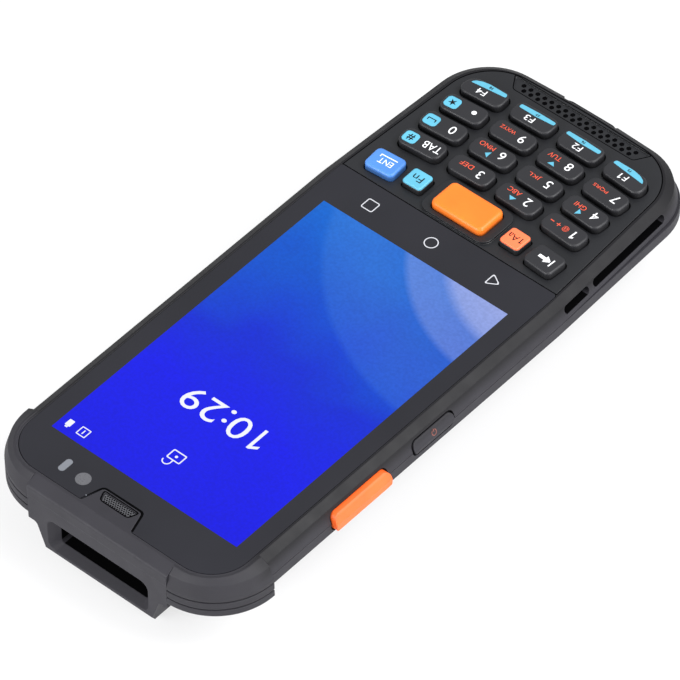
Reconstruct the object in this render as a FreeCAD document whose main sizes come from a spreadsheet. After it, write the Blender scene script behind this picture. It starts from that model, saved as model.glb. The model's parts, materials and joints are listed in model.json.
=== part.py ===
"""Portable barcode data terminal: a rugged handheld with a touch display, a keypad of
twenty-one keys, a scan button in its side and a barcode window in its upper end.

Millimetres. The origin is under the middle of the terminal, on the plane that it lies on
with its display up. +X is the user's right, +Y points to the scan end and +Z out of the
display."""

import FreeCAD
import Part
import math
import operator
import os
import Sketcher

VECTOR = FreeCAD.Vector

document = FreeCAD.newDocument("DataTerminal")
sheet = document.addObject("Spreadsheet::Sheet", "Sizes")
sheet_rows = []
nodes = []


# Sizes that carry their sheet expression with them

class Size:
    """A number together with the sheet expression that gives it."""

    def __init__(self, number, text):
        self.number = float(number)
        self.text = text

    def __float__(self):
        return self.number

    def __add__(self, other):
        return combine(self, "+", other)

    def __radd__(self, other):
        return combine(other, "+", self)

    def __sub__(self, other):
        return combine(self, "-", other)

    def __rsub__(self, other):
        return combine(other, "-", self)

    def __mul__(self, other):
        return combine(self, "*", other)

    def __rmul__(self, other):
        return combine(other, "*", self)

    def __truediv__(self, other):
        return combine(self, "/", other)

    def __neg__(self):
        return combine(0, "-", self)


SIGNS = {"+": operator.add, "-": operator.sub, "*": operator.mul, "/": operator.truediv}


def as_size(value):
    if isinstance(value, Size):
        return value
    return Size(value, f"({float(value)})")


def combine(left, sign, right):
    left = as_size(left)
    right = as_size(right)
    return Size(SIGNS[sign](left.number, right.number), f"({left.text} {sign} {right.text})")


def size(alias, number, note):
    """One driving dimension: a row of the sheet with its name, value and meaning."""
    row = len(sheet_rows) + 1
    sheet_rows.append(alias)
    sheet.set(f"A{row}", alias)
    sheet.set(f"B{row}", str(number))
    sheet.set(f"C{row}", note)
    sheet.setAlias(f"B{row}", alias)
    return Size(number, f"Sizes.{alias}")


def bind(item, path, value):
    """Ties one property of an object to the sheet."""
    item.setExpression(path, as_size(value).text)


# Housings: plan outline, in half widths and distances along the terminal
body_half_width = size("body_half_width", 34.3, "centre line to the bare side wall")
body_end = size("body_end", 80.4, "origin to the scan end beside the scan head")
body_end_radius = size("body_end_radius", 15.0, "plan radius of the scan end's corners")
waist_y = size("waist_y", -28.0, "where the sides start to draw in to the grip")
waist_radius = size("waist_radius", 60.0, "plan radius of the bend at the waist")
grip_half_width = size("grip_half_width", 31.9, "half width of the front housing at its foot")
rear_grip_half_width = size("rear_grip_half_width", 32.8, "half width of the rear housing there")
foot_y = size("foot_y", -80.3, "origin to the middle of the foot end, negative")
foot_radius = size("foot_radius", 14.0, "plan radius of the foot's corners")
foot_bow = size("foot_bow", 1.2, "how far the foot end bows out at its middle")
foot_bow_radius = size("foot_bow_radius", 150.0, "plan radius of that bow")

# Housings: heights above the resting plane, and the insets of each height's outline
glass_top = size("glass_top", 22.6, "height of the front glass")
rim_edge_drop = size("rim_edge_drop", 1.2, "rim's outer edge below the glass")
seam_height = size("seam_height", 18.2, "height of the seam between the housings")
wall_foot = size("wall_foot", 15.3, "height where the side wall turns under")
belly_knee = size("belly_knee", 11.0, "height of the fold in the underside")
rim_edge_inset = size("rim_edge_inset", 1.2, "side wall's draw-in at the rim's edge")
rim_edge_end_inset = size("rim_edge_end_inset", 1.0, "the same at the scan end")
rim_edge_end_radius = size("rim_edge_end_radius", 13.4, "plan radius there")
land_inset = size("land_inset", 3.1, "side wall to the flat land round the glass")
land_end_inset = size("land_end_inset", 2.1, "scan end to that land")
land_end_radius = size("land_end_radius", 10.2, "plan radius of the land there")
land_foot_inset = size("land_foot_inset", 1.6, "foot end to that land")
knee_inset = size("knee_inset", 3.0, "side wall to the underside's fold")
knee_end_inset = size("knee_end_inset", 2.2, "the same at the scan end")
knee_foot_inset = size("knee_foot_inset", 0.8, "the same at the foot end")
back_inset = size("back_inset", 10.6, "side wall to the flat of the back")
back_end_inset = size("back_end_inset", 31.0, "scan end to the flat of the back")
back_foot_inset = size("back_foot_inset", 5.5, "foot end to the flat of the back")
back_end_radius = size("back_end_radius", 8.0, "plan radius of the flat at the scan end")
back_foot_radius = size("back_foot_radius", 10.0, "plan radius of the flat at the foot")
seam_step = size("seam_step", 0.25, "depth of the shadow line at the seam")
seam_line = size("seam_line", 0.3, "height of the shadow line at the seam")
housing_wall = size("housing_wall", 2.3, "thickness of the side walls")
shelf = size("shelf", 0.7, "thickness of the shelf under the glass")

# Glass and display
glass_half_width = size("glass_half_width", 30.6, "half width of the front glass")
glass_thickness = size("glass_thickness", 1.0, "thickness of the front glass")
glass_high_y = size("glass_high_y", 77.7, "upper edge of the glass")
glass_low_y = size("glass_low_y", -31.6, "lower edge of the glass")
glass_radius = size("glass_radius", 9.6, "upper corners of the glass")
glass_low_radius = size("glass_low_radius", 0.8, "lower corners of the glass")
glass_gap = size("glass_gap", 0.12, "gap all round the glass and the keypad panel")
tab_middle = size("tab_middle", 0.4, "middle of the earpiece tab, off the centre line")
tab_root_half = size("tab_root_half", 7.1, "half width of the tab at the glass edge")
tab_tip_half = size("tab_tip_half", 5.4, "half width of the tab at its tip")
tab_tip_y = size("tab_tip_y", 72.3, "tip of the earpiece tab")
tab_radius = size("tab_radius", 0.9, "corners of the tab")
display_half_width = size("display_half_width", 27.3, "half width of the display module")
display_high_y = size("display_high_y", 68.2, "upper edge of the display module")
display_low_y = size("display_low_y", -24.4, "lower edge of the display module")
display_thickness = size("display_thickness", 2.2, "thickness of the display module")
display_gap = size("display_gap", 0.3, "clearance round the display module")
tray_floor = size("tray_floor", 1.0, "thickness of the metal tray's floor")
tray_wall = size("tray_wall", 1.6, "thickness of the metal tray's walls")

# Keypad
panel_thickness = size("panel_thickness", 1.2, "thickness of the keypad panel")
panel_high_half = size("panel_high_half", 30.3, "half width of the panel at the glass")
panel_low_half = size("panel_low_half", 27.9, "half width of the panel at the foot")
panel_low_y = size("panel_low_y", -78.1, "lower edge of the panel at its middle")
panel_bow = size("panel_bow", 0.8, "how far that edge bows out")
panel_radius = size("panel_radius", 12.4, "lower corners of the panel")
panel_seat = size("panel_seat", 1.4, "width of the seat under the panel's edge at the foot")
panel_high_seat = size("panel_high_seat", 2.4, "the same at its upper corners")
panel_glass_seat = size("panel_glass_seat", 0.9, "the same along the glass")
keypad_low_y = size("keypad_low_y", -71.9, "lower edge of the hollow under the keypad")
keypad_radius = size("keypad_radius", 3.2, "lower corners of that hollow")
key_width = size("key_width", 11.2, "width of a number key")
key_depth = size("key_depth", 5.35, "height of a number key in plan")
key_radius = size("key_radius", 1.9, "plan corners of the number keys")
key_outer_radius = size("key_outer_radius", 3.2, "outer lower corner of the end function keys")
key_rise = size("key_rise", 1.75, "key tops above the panel")
key_pitch_x = size("key_pitch_x", 13.45, "column to column")
key_pitch_y = size("key_pitch_y", 7.0, "row to row")
key_first_y = size("key_first_y", -46.6, "middle of the first number row's outer keys")
key_inner_drop = size("key_inner_drop", 0.7, "inner columns below the outer ones")
key_outer_turn = size("key_outer_turn", 4.0, "turn of the outer columns, degrees")
key_inner_turn = size("key_inner_turn", 1.3, "turn of the inner columns, degrees")
key_edge = size("key_edge", 0.4, "rounding of the key tops")
key_gap = size("key_gap", 0.2, "gap round each key in the panel")
key_lip = size("key_lip", 0.5, "how far a key's flange stands out under the panel")
key_flange = size("key_flange", 0.7, "thickness of a key's flange")
key_slack = size("key_slack", 0.2, "flange to panel when the key is up")
key_travel = size("key_travel", 0.6, "stroke of a key")
key_rest_gap = size("key_rest_gap", 0.1, "stem to dome at the end of the stroke")
key_stem = size("key_stem", 1.1, "half width of the post under a key")
top_row_y = size("top_row_y", -37.0, "middle of the back and enter keys")
cap_row_y = size("cap_row_y", -37.6, "middle of the shift and function keys")
top_key_x = size("top_key_x", 22.7, "centre line to the back and enter keys")
top_key_width = size("top_key_width", 7.9, "width of the back and enter keys")
top_key_depth = size("top_key_depth", 6.2, "height of those keys in plan")
top_key_radius = size("top_key_radius", 1.3, "plan corners of those keys")
cap_key_x = size("cap_key_x", 13.9, "centre line to the shift and function keys")
cap_key_width = size("cap_key_width", 5.4, "width of the shift and function keys")
cap_key_depth = size("cap_key_depth", 5.2, "height of those keys in plan")
cap_key_radius = size("cap_key_radius", 0.8, "plan corners of those keys")
scan_key_y = size("scan_key_y", -37.9, "middle of the front scan key")
scan_key_width = size("scan_key_width", 14.6, "width of the front scan key")
scan_key_depth = size("scan_key_depth", 8.4, "height of that key in plan")
scan_key_radius = size("scan_key_radius", 1.5, "plan corners of that key")
scan_key_rise = size("scan_key_rise", 2.4, "its top above the panel")
scan_rim_half = size("scan_rim_half", 9.6, "half width of the raised rim round it")
scan_rim_low = size("scan_rim_low", -43.7, "lower edge of that rim")
scan_rim_high = size("scan_rim_high", -32.3, "upper edge of that rim")
scan_rim_rise = size("scan_rim_rise", 0.6, "height of that rim above the panel")
scan_rim_radius = size("scan_rim_radius", 2.6, "lower corners of that rim")
dome_half = size("dome_half", 1.7, "half width of a four-legged metal dome")
dome_rise = size("dome_rise", 0.3, "height of a metal dome")
dome_film = size("dome_film", 0.2, "thickness of the film that holds the domes")
board_thickness = size("board_thickness", 0.8, "thickness of the keypad's circuit board")
board_low_y = size("board_low_y", -71.3, "lower edge of that board")
board_margin = size("board_margin", 1.4, "sides of the panel to that board's sides")
board_radius = size("board_radius", 10.0, "lower corners of that board")
film_margin = size("film_margin", 0.6, "edges of the keypad's hollow to the dome film")

# Speaker behind the foot of the panel
grille_half = size("grille_half", 17.0, "half length of the speaker grille")
grille_y = size("grille_y", -75.4, "middle of the grille")
grille_pitch = size("grille_pitch", 2.0, "hole to hole along a row")
grille_row = size("grille_row", 1.25, "row to row")
grille_hole = size("grille_hole", 0.56, "radius round a six-sided hole")
grille_recess = size("grille_recess", 0.3, "depth of the grille's recess")
grille_margin = size("grille_margin", 1.15, "holes to the recess's edge")
speaker_half = size("speaker_half", 14.6, "half length of the speaker")
speaker_half_width = size("speaker_half_width", 1.8, "half width of the speaker")
speaker_depth = size("speaker_depth", 3.8, "thickness of the speaker")

# Scan head
head_half_width = size("head_half_width", 19.7, "half width of the scan head's end face")
head_end = size("head_end", 81.4, "origin to the scan head's end face")
head_bevel = size("head_bevel", 2.9, "run of the bevel from the end face up to the glass")
head_bevel_drop = size("head_bevel_drop", 1.5, "drop of that bevel")
hump_start = size("hump_start", 44.0, "where the scan head's hump leaves the back")
hump_shoulder_half = size("hump_shoulder_half", 17.4, "half width of the hump at its shoulder")
hump_shoulder_height = size("hump_shoulder_height", 11.3, "height of the hump's shoulder")
hump_half = size("hump_half", 13.3, "half width of the hump's flat")
hump_shoulder_radius = size("hump_shoulder_radius", 3.6, "hollow where the hump meets the belly")
hump_radius = size("hump_radius", 3.0, "edge of the hump's flat")
chin_height = size("chin_height", 5.0, "height where the end face starts to slope back")
chin_low = size("chin_low", 1.6, "height of the chin's lower edge")
chin_slope = size("chin_slope", 2.2, "how far the chin's slope runs back")
chin_tuck = size("chin_tuck", 4.4, "end face to the front edge of the hump's flat")
window_half = size("window_half", 12.4, "half width of the clear window")
window_low = size("window_low", 6.8, "lower edge of the clear window")
window_high = size("window_high", 13.6, "upper edge of the clear window")
window_radius = size("window_radius", 0.9, "corners of the clear window")
window_flare = size("window_flare", 2.0, "how far the recess opens out sideways")
window_flare_up = size("window_flare_up", 1.2, "how far it opens out upwards and downwards")
window_flare_depth = size("window_flare_depth", 2.2, "end face to the inner edge of the flare")
window_mouth_radius = size("window_mouth_radius", 2.2, "corners of the recess at the end face")
window_depth = size("window_depth", 4.9, "end face to the window glass")
window_thickness = size("window_thickness", 1.2, "thickness of the window glass")
window_lap = size("window_lap", 0.8, "window glass hidden behind the opening's edge")
fit_gap = size("fit_gap", 0.1, "clearance of seated inner pieces")
engine_half_width = size("engine_half_width", 10.8, "half width of the scan engine")
engine_length = size("engine_length", 13.8, "length of the scan engine")
engine_height = size("engine_height", 11.2, "height of the scan engine")
engine_floor = size("engine_floor", 4.0, "height of the scan engine's seat")

# Bumpers on the corners of the scan end
bumper_rise = size("bumper_rise", 1.0, "how far a bumper stands out of the wall")
bumper_top_rise = size("bumper_top_rise", 0.6, "the same round the glass")
bumper_low = size("bumper_low", 12.0, "lower edge of the bumpers")
bumper_start_y = size("bumper_start_y", 65.2, "where a bumper starts on the side")
bumper_bevel = size("bumper_bevel", 1.0, "bevel of the bumper's lower edge")
bumper_groove = size("bumper_groove", 0.5, "height of a bumper's groove")
bumper_groove_depth = size("bumper_groove_depth", 0.4, "depth of a bumper's groove")
bumper_groove_low = size("bumper_groove_low", 14.6, "height of the lower groove")
bumper_groove_pitch = size("bumper_groove_pitch", 2.2, "groove to groove")

# Side buttons
side_button_gap = size("side_button_gap", 0.25, "gap round a side button")
side_button_lip = size("side_button_lip", 0.5, "how far a side button's flange stands out")
side_button_flange = size("side_button_flange", 0.8, "thickness of that flange")
side_button_travel = size("side_button_travel", 0.8, "stroke of the side buttons")
trigger_y = size("trigger_y", 37.0, "middle of the side scan button")
trigger_length = size("trigger_length", 17.6, "length of the side scan button")
trigger_low = size("trigger_low", 15.75, "lower edge of the side scan button")
trigger_high = size("trigger_high", 20.3, "upper edge of the side scan button")
trigger_rise = size("trigger_rise", 1.4, "how far it stands out of the wall")
trigger_radius = size("trigger_radius", 1.6, "rounding of its ends")
power_y = size("power_y", 13.2, "middle of the power and volume keys")
power_length = size("power_length", 12.8, "length of the power and volume keys")
power_low = size("power_low", 17.0, "lower edge of those keys")
power_high = size("power_high", 20.3, "upper edge of those keys")
power_rise = size("power_rise", 0.4, "how far they stand out of the wall")
power_radius = size("power_radius", 1.4, "rounding of their ends")
switch_depth = size("switch_depth", 2.4, "depth of a side switch's case")
switch_length = size("switch_length", 4.6, "length of a side switch's case")
switch_height = size("switch_height", 1.9, "height of a side switch's case")
switch_plunger = size("switch_plunger", 0.5, "reach of a side switch's plunger")
rocker_slack = size("rocker_slack", 0.5, "wall to the volume key's flange, room for its tilt")
volume_switch_half = size("volume_switch_half", 3.6, "middle of the rocker to each of its switches")

# Strap slots under the rim of the grip
slot_high = size("slot_high", 21.1, "upper edge of the strap slots")
slot_height = size("slot_height", 2.1, "height of the strap slots")
slot_floor = size("slot_floor", 29.9, "centre line to the bottom of the strap slots")
slot_start_y = size("slot_start_y", -30.8, "upper end of the strap slots")
slot_end_y = size("slot_end_y", -66.5, "lower end of the strap slots")
slot_bridge_y = size("slot_bridge_y", -40.2, "middle of the bridge across a slot")
slot_bridge = size("slot_bridge", 1.5, "width of that bridge")
slot_radius = size("slot_radius", 0.95, "rounding of the slots' ends")

# Board, battery and battery cover
main_half_width = size("main_half_width", 29.3, "half width of the main board")
main_high_y = size("main_high_y", 58.0, "upper edge of the main board")
main_low_y = size("main_low_y", -71.3, "lower edge of the main board")
main_low_radius = size("main_low_radius", 8.0, "lower corners of the main board")
main_thickness = size("main_thickness", 1.0, "thickness of the main board")
main_height = size("main_height", 15.0, "height of the ledge that it lies on")
main_ledge = size("main_ledge", 3.1, "width of that ledge under the board")
shield_height = size("shield_height", 2.0, "height of the shield cans under the main board")
shield_half_width = size("shield_half_width", 13.0, "half width of the shield cans")
shield_half_length = size("shield_half_length", 11.0, "half length of the shield cans")
shield_radio_y = size("shield_radio_y", 22.0, "middle of the radio's shield can")
shield_processor_y = size("shield_processor_y", -8.0, "middle of the processor's shield can")
motor_x = size("motor_x", -20.0, "centre line to the vibration motor")
motor_y = size("motor_y", 50.0, "origin to the vibration motor")
motor_radius = size("motor_radius", 3.6, "radius of the vibration motor")
motor_height = size("motor_height", 1.6, "height of the vibration motor")
floor_height = size("floor_height", 12.6, "height of the floor over the battery")
battery_half_width = size("battery_half_width", 19.3, "half width of the battery")
battery_high_y = size("battery_high_y", 30.6, "upper end of the battery")
battery_low_y = size("battery_low_y", -40.6, "lower end of the battery")
battery_thickness = size("battery_thickness", 9.0, "thickness of the battery")
battery_gap = size("battery_gap", 0.3, "clearance round the battery")
cover_thickness = size("cover_thickness", 1.6, "thickness of the battery cover")
cover_seat = size("cover_seat", 1.6, "width of the cover's seat round the battery")
cover_gap = size("cover_gap", 0.15, "gap round the battery cover")
cover_radius = size("cover_radius", 4.0, "corners of the battery cover")
cover_tab = size("cover_tab", 1.2, "reach of the cover's tabs and tongue")
cover_tab_half = size("cover_tab_half", 4.0, "half width of a tab")
cover_tab_x = size("cover_tab_x", 12.0, "centre line to the cover's upper tabs")
tab_thickness = size("tab_thickness", 0.7, "thickness of the tabs")
latch_half = size("latch_half", 6.0, "half width of the battery latch")
latch_length = size("latch_length", 5.6, "length of the latch's slider")
latch_travel = size("latch_travel", 2.4, "stroke of the latch")
latch_gap = size("latch_gap", 0.2, "gap round the latch")
latch_sink = size("latch_sink", 0.2, "how far the latch lies under the back's flat")

# Rear camera and lamp
camera_y = size("camera_y", 41.5, "middle of the rear camera and lamp")
camera_x = size("camera_x", 0.0, "centre line to the rear camera")
camera_window_radius = size("camera_window_radius", 4.6, "radius of the rear camera's window")
camera_radius = size("camera_radius", 3.4, "radius of the rear camera's barrel")
camera_window = size("camera_window", 0.9, "thickness of that window")
camera_sink = size("camera_sink", 0.3, "how far the window lies under the back's flat")
lamp_x = size("lamp_x", 10.5, "centre line to the rear lamp")
lamp_radius = size("lamp_radius", 2.2, "radius of the rear lamp's lens")

# Front camera, sensor light guide and earpiece
front_camera_x = size("front_camera_x", 10.8, "centre line to the front camera")
front_camera_y = size("front_camera_y", 73.2, "height of the front camera along the terminal")
front_camera_radius = size("front_camera_radius", 2.4, "radius of the front camera's barrel")
front_camera_length = size("front_camera_length", 4.2, "length of the front camera")
sensor_x = size("sensor_x", 16.4, "centre line to the light guide")
sensor_y = size("sensor_y", 72.8, "height of the light guide along the terminal")
sensor_half_width = size("sensor_half_width", 0.85, "half width of the light guide")
sensor_half_length = size("sensor_half_length", 1.9, "half length of the light guide")
sensor_depth = size("sensor_depth", 1.8, "length of the light guide under the glass")
ear_low = size("ear_low", 73.0, "lower edge of the earpiece grille")
ear_high = size("ear_high", 75.1, "upper edge of the earpiece grille")
ear_half = size("ear_half", 4.6, "half length of the earpiece grille")
ear_slope = size("ear_slope", 0.9, "how far the grille's ends slope")
ear_radius = size("ear_radius", 0.5, "corners of the earpiece grille")
ear_depth = size("ear_depth", 0.6, "depth of the earpiece recess")
ear_mesh = size("ear_mesh", 0.3, "thickness of the earpiece mesh")
receiver_half = size("receiver_half", 5.0, "half length of the receiver")
receiver_half_width = size("receiver_half_width", 2.4, "half width of the receiver")
receiver_depth = size("receiver_depth", 1.6, "thickness of the receiver")

# Port at the foot and its hinged cover
port_half = size("port_half", 4.47, "half width of the port's shell")
port_half_height = size("port_half_height", 1.6, "half height of the port's shell")
port_height = size("port_height", 14.6, "height of the port's middle")
port_length = size("port_length", 7.2, "length of the port")
port_wall = size("port_wall", 0.3, "thickness of the port's shell")
port_tongue_half = size("port_tongue_half", 3.3, "half width of the port's tongue")
port_tongue = size("port_tongue", 0.7, "thickness of the port's tongue")
port_margin = size("port_margin", 0.3, "gap round the port in the housing")
flap_half = size("flap_half", 7.4, "half width of the port cover")
flap_thickness = size("flap_thickness", 1.6, "thickness of the port cover")
flap_high = size("flap_high", 20.6, "upper edge of the port cover")
flap_pin_height = size("flap_pin_height", 11.4, "height of the port cover's hinge line")
flap_gap = size("flap_gap", 0.2, "gap round the port cover")
flap_reach = size("flap_reach", 0.5, "how far the port cover stands out of the foot")
flap_taper = size("flap_taper", 2.4, "length of the slope at each end of the port cover")
flap_taper_depth = size("flap_taper_depth", 0.8, "depth of that slope at the cover's ends")
flap_grip_half = size("flap_grip_half", 4.4, "half length of the finger groove")
flap_grip = size("flap_grip", 1.2, "width of the finger groove")
flap_grip_edge = size("flap_grip_edge", 1.6, "cover's upper edge to the finger groove")
flap_plug = size("flap_plug", 0.8, "reach of the port cover's plug")
flap_plug_half = size("flap_plug_half", 3.7, "half width of that plug")
flap_plug_half_height = size("flap_plug_half_height", 1.1, "half height of that plug")
flap_lip = size("flap_lip", 0.5, "depth of the finger groove in the port cover")

# Housing screws
screw_end_x = size("screw_end_x", 25.4, "centre line to the screws at the scan end")
screw_end_y = size("screw_end_y", 72.9, "origin to those screws")
screw_foot_x = size("screw_foot_x", 23.0, "centre line to the screws at the foot")
screw_foot_y = size("screw_foot_y", -73.6, "origin to those screws, negative")
screw_radius = size("screw_radius", 1.0, "radius of a screw's shank")
screw_head_radius = size("screw_head_radius", 1.9, "radius of a screw's head")
screw_head = size("screw_head", 1.5, "height of a screw's head")
screw_seat = size("screw_seat", 13.0, "height of the seat under a screw's head")
screw_reach = size("screw_reach", 2.0, "length of the shank above the seam")
screw_boss = size("screw_boss", 1.1, "wall of the bosses round the screws")
screw_gap = size("screw_gap", 0.05, "clearance round a screw's shank")
driver_radius = size("driver_radius", 0.8, "radius of the driver recess")
driver_depth = size("driver_depth", 0.8, "depth of the driver recess")

document.recompute()

# Places that follow from the sizes
rim_edge_height = glass_top - rim_edge_drop
wide_gap = fit_gap * 5
cut_lead = fit_gap * 10
through_wall = housing_wall * 3
head_bevel_radius = key_edge * 2
shoulder_radius = hump_shoulder_radius / 3
well_radius = key_outer_radius * 2
grip_half = latch_half * 0.7
grip_pitch = latch_gap * 6
glass_seat = glass_top - glass_thickness
shelf_low = glass_seat - shelf
panel_bottom = glass_top - panel_thickness
panel_high_y = glass_low_y - glass_gap * 2
flange_top = panel_bottom - key_slack
flange_bottom = flange_top - key_flange
dome_top = seam_height + dome_film + dome_rise
stem_bottom = dome_top + key_travel + key_rest_gap
display_bottom = glass_seat - display_thickness
tray_bottom = display_bottom - tray_floor
tray_inner_half = display_half_width + display_gap
cavity_end = body_end - housing_wall
head_window_y = head_end - window_depth
flap_face = foot_y - flap_reach
flap_back = flap_face + flap_thickness
recess_floor = flap_back + flap_gap
flap_pin_y = (flap_face + flap_back) / 2
battery_bottom = cover_thickness + fit_gap
bay_half = battery_half_width + battery_gap
cover_half = bay_half + cover_seat - cover_gap
cover_high_y = battery_high_y + battery_gap + cover_seat - cover_gap
cover_low_y = battery_low_y - battery_gap - cover_seat + cover_gap
side_inner = body_half_width - housing_wall


# Drawing helpers

def new_body(label):
    """A sub-part made as a body of sketches and features."""
    item = document.addObject("PartDesign::Body", label)
    item.Label = label
    nodes.append(item)
    return item


def new_sketch(body, name, role, offset):
    """A sketch on one of the body's own planes, moved along that plane's normal."""
    item = body.newObject("Sketcher::SketchObject", f"{body.Name}_{name}")
    plane = [part for part in body.Origin.OriginFeatures if part.Role == role][0]
    item.AttachmentSupport = (plane, "")
    item.MapMode = "FlatFace"
    offset = as_size(offset)
    item.AttachmentOffset = FreeCAD.Placement(VECTOR(0, 0, offset.number), FreeCAD.Rotation())
    bind(item, "AttachmentOffset.Base.z", offset)
    return item


def level(body, name, height):
    """A sketch seen from above."""
    return new_sketch(body, name, "XY_Plane", height)


def facing(body, name, distance):
    """A sketch across the terminal, its X to the right and its Y up."""
    return new_sketch(body, name, "XZ_Plane", -as_size(distance))


def sideways(body, name, distance):
    """A sketch along the terminal, its X to the scan end and its Y up."""
    return new_sketch(body, name, "YZ_Plane", distance)


def place_constraint(item, geometry, position, x, y):
    """Ties a point of a sketch to the sketch's origin by two distances."""
    for kind, value in (("DistanceX", as_size(x)), ("DistanceY", as_size(y))):
        index = item.addConstraint(
            Sketcher.Constraint(kind, -1, 1, geometry, position, value.number))
        bind(item, f"Constraints[{index}]", value)


def outline(item, corners):
    """Draws a closed outline anticlockwise: corners are (x, y) or (x, y, radius)."""
    spots = [VECTOR(float(corner[0]), float(corner[1]), 0) for corner in corners]
    turns = []
    for index, corner in enumerate(corners):
        here = spots[index]
        arrive = (here - spots[index - 1]).normalize()
        leave = (spots[(index + 1) % len(spots)] - here).normalize()
        turn = math.atan2(arrive.cross(leave).z, arrive.dot(leave))
        radius = float(corner[2]) if len(corner) > 2 else 0.0
        reach = radius * math.tan(abs(turn) / 2)
        turns.append((here - arrive * reach, here + leave * reach, turn, radius, arrive))
    first = item.GeometryCount
    sides = []
    for index, (start, leave_point, turn, radius, arrive) in enumerate(turns):
        sides.append(Part.LineSegment(leave_point, turns[(index + 1) % len(turns)][0]))
    item.addGeometry(sides, False)
    for index, corner in enumerate(corners):
        start, finish, turn, radius, arrive = turns[index]
        side_in = first + (index - 1) % len(corners)
        side_out = first + index
        if not radius:
            item.addConstraint(Sketcher.Constraint("Coincident", side_in, 2, side_out, 1))
            place_constraint(item, side_out, 1, corner[0], corner[1])
            continue
        hand = math.copysign(1.0, turn)
        centre = start + VECTOR(-arrive.y, arrive.x, 0) * (radius * hand)
        opening = math.atan2(start.y - centre.y, start.x - centre.x)
        closing = opening + turn
        if hand < 0:
            opening, closing = closing, opening
        arc = item.addGeometry(
            Part.ArcOfCircle(Part.Circle(centre, VECTOR(0, 0, 1), radius), opening, closing), False)
        spot = item.addGeometry(Part.Point(spots[index]), True)
        near, far = (1, 2) if hand > 0 else (2, 1)
        item.addConstraint([
            Sketcher.Constraint("Tangent", side_in, 2, arc, near),
            Sketcher.Constraint("Tangent", side_out, 1, arc, far),
            Sketcher.Constraint("PointOnObject", spot, 1, side_in),
            Sketcher.Constraint("PointOnObject", spot, 1, side_out),
        ])
        round_size = as_size(corner[2])
        index_radius = item.addConstraint(Sketcher.Constraint("Radius", arc, round_size.number))
        bind(item, f"Constraints[{index_radius}]", round_size)
        place_constraint(item, spot, 1, corner[0], corner[1])
    return item


def box_outline(item, low_x, high_x, low_y, high_y, radius=None):
    """Draws an upright rectangle with square or equal round corners."""
    spots = [(low_x, low_y), (high_x, low_y), (high_x, high_y), (low_x, high_y)]
    if radius is not None:
        spots = [(x, y, radius) for x, y in spots]
    return outline(item, spots)


def round_outline(item, x, y, radius):
    """Draws a circle."""
    radius = as_size(radius)
    centre = VECTOR(float(x), float(y), 0)
    circle = item.addGeometry(Part.Circle(centre, VECTOR(0, 0, 1), radius.number), False)
    index = item.addConstraint(Sketcher.Constraint("Radius", circle, radius.number))
    bind(item, f"Constraints[{index}]", radius)
    place_constraint(item, circle, 3, x, y)
    return item


def six_sided(item, x, y, radius):
    """Draws a regular hexagon with two corners on its own X line."""
    turns = [math.radians(60 * count) for count in range(6)]
    return outline(item, [(x + radius * math.cos(turn), y + radius * math.sin(turn))
                          for turn in turns])


def extrude(body, kind, profile, length, backwards, midway):
    item = body.newObject(f"PartDesign::{kind}", f"{profile.Name}_{kind.lower()}")
    item.Profile = profile
    length = as_size(length)
    item.Length = length.number
    bind(item, "Length", length)
    item.Reversed = backwards
    item.Midplane = midway
    return item


def pad(body, profile, length, backwards=False, midway=False):
    """Adds material along the sketch's normal, or against it when backwards."""
    return extrude(body, "Pad", profile, length, backwards, midway)


def pocket(body, profile, length, forwards=False, midway=False):
    """Cuts against the sketch's normal, or along it when forwards."""
    return extrude(body, "Pocket", profile, length, forwards, midway)


def loft(body, name, profiles, kind="AdditiveLoft"):
    """A straight-sided loft through sketches with the same corners."""
    item = body.newObject(f"PartDesign::{kind}", f"{body.Name}_{name}")
    item.Profile = profiles[0]
    item.Sections = profiles[1:]
    item.Ruled = True
    return item


def dress(body, kind, name, path, amount, chosen):
    """Rounds or bevels the edges of the body that the test picks."""
    document.recompute()
    base = body.Tip
    edges = [f"Edge{count}" for count, edge in enumerate(base.Shape.Edges, 1) if chosen(edge)]
    if not edges:
        raise ValueError(f"{body.Label}: no edge found for {name}")
    item = body.newObject(f"PartDesign::{kind}", f"{body.Name}_{name}")
    item.Base = (base, edges)
    amount = as_size(amount)
    setattr(item, path, amount.number)
    bind(item, path, amount)
    return item


def flat_at(edge, height):
    """Whether an edge lies in the level plane at this height."""
    return all(abs(vertex.Z - float(height)) < 1e-4 for vertex in edge.Vertexes)


def across(edge):
    """Whether an edge runs straight along X."""
    return edge.BoundBox.YLength < 1e-4 and edge.BoundBox.ZLength < 1e-4


# Housings' outline, shared by both housings and the bumpers

def body_corners(side, end, foot, end_round, foot_round, grip=None):
    """The terminal's plan outline, drawn in by an inset at the sides, scan end and foot."""
    half = body_half_width - side
    low = (grip_half_width if grip is None else grip) - side
    end_at = body_end - end
    foot_at = foot_y + foot
    return [
        (half, end_at, end_round),
        (-half, end_at, end_round),
        (-half, waist_y, waist_radius),
        (-low, foot_at + foot_bow, foot_round),
        (as_size(0), foot_at, foot_bow_radius),
        (low, foot_at + foot_bow, foot_round),
        (half, waist_y, waist_radius),
    ]


def front_levels(body, rise, top_rise):
    """The outlines of the front housing's outside, from the seam up, grown by the rises."""
    seam = outline(level(body, "at_seam", seam_height), body_corners(
        -rise, -rise, -rise, body_end_radius + rise, foot_radius + rise))
    edge = outline(level(body, "at_rim_edge", rim_edge_height), body_corners(
        rim_edge_inset - rise, rim_edge_end_inset - rise, as_size(0) - rise,
        rim_edge_end_radius + rise, foot_radius + rise))
    land = outline(level(body, "at_land", glass_top), body_corners(
        land_inset - top_rise, land_end_inset - top_rise, land_foot_inset - top_rise,
        land_end_radius + top_rise, foot_radius - land_foot_inset + top_rise))
    return [seam, edge, land]


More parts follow.
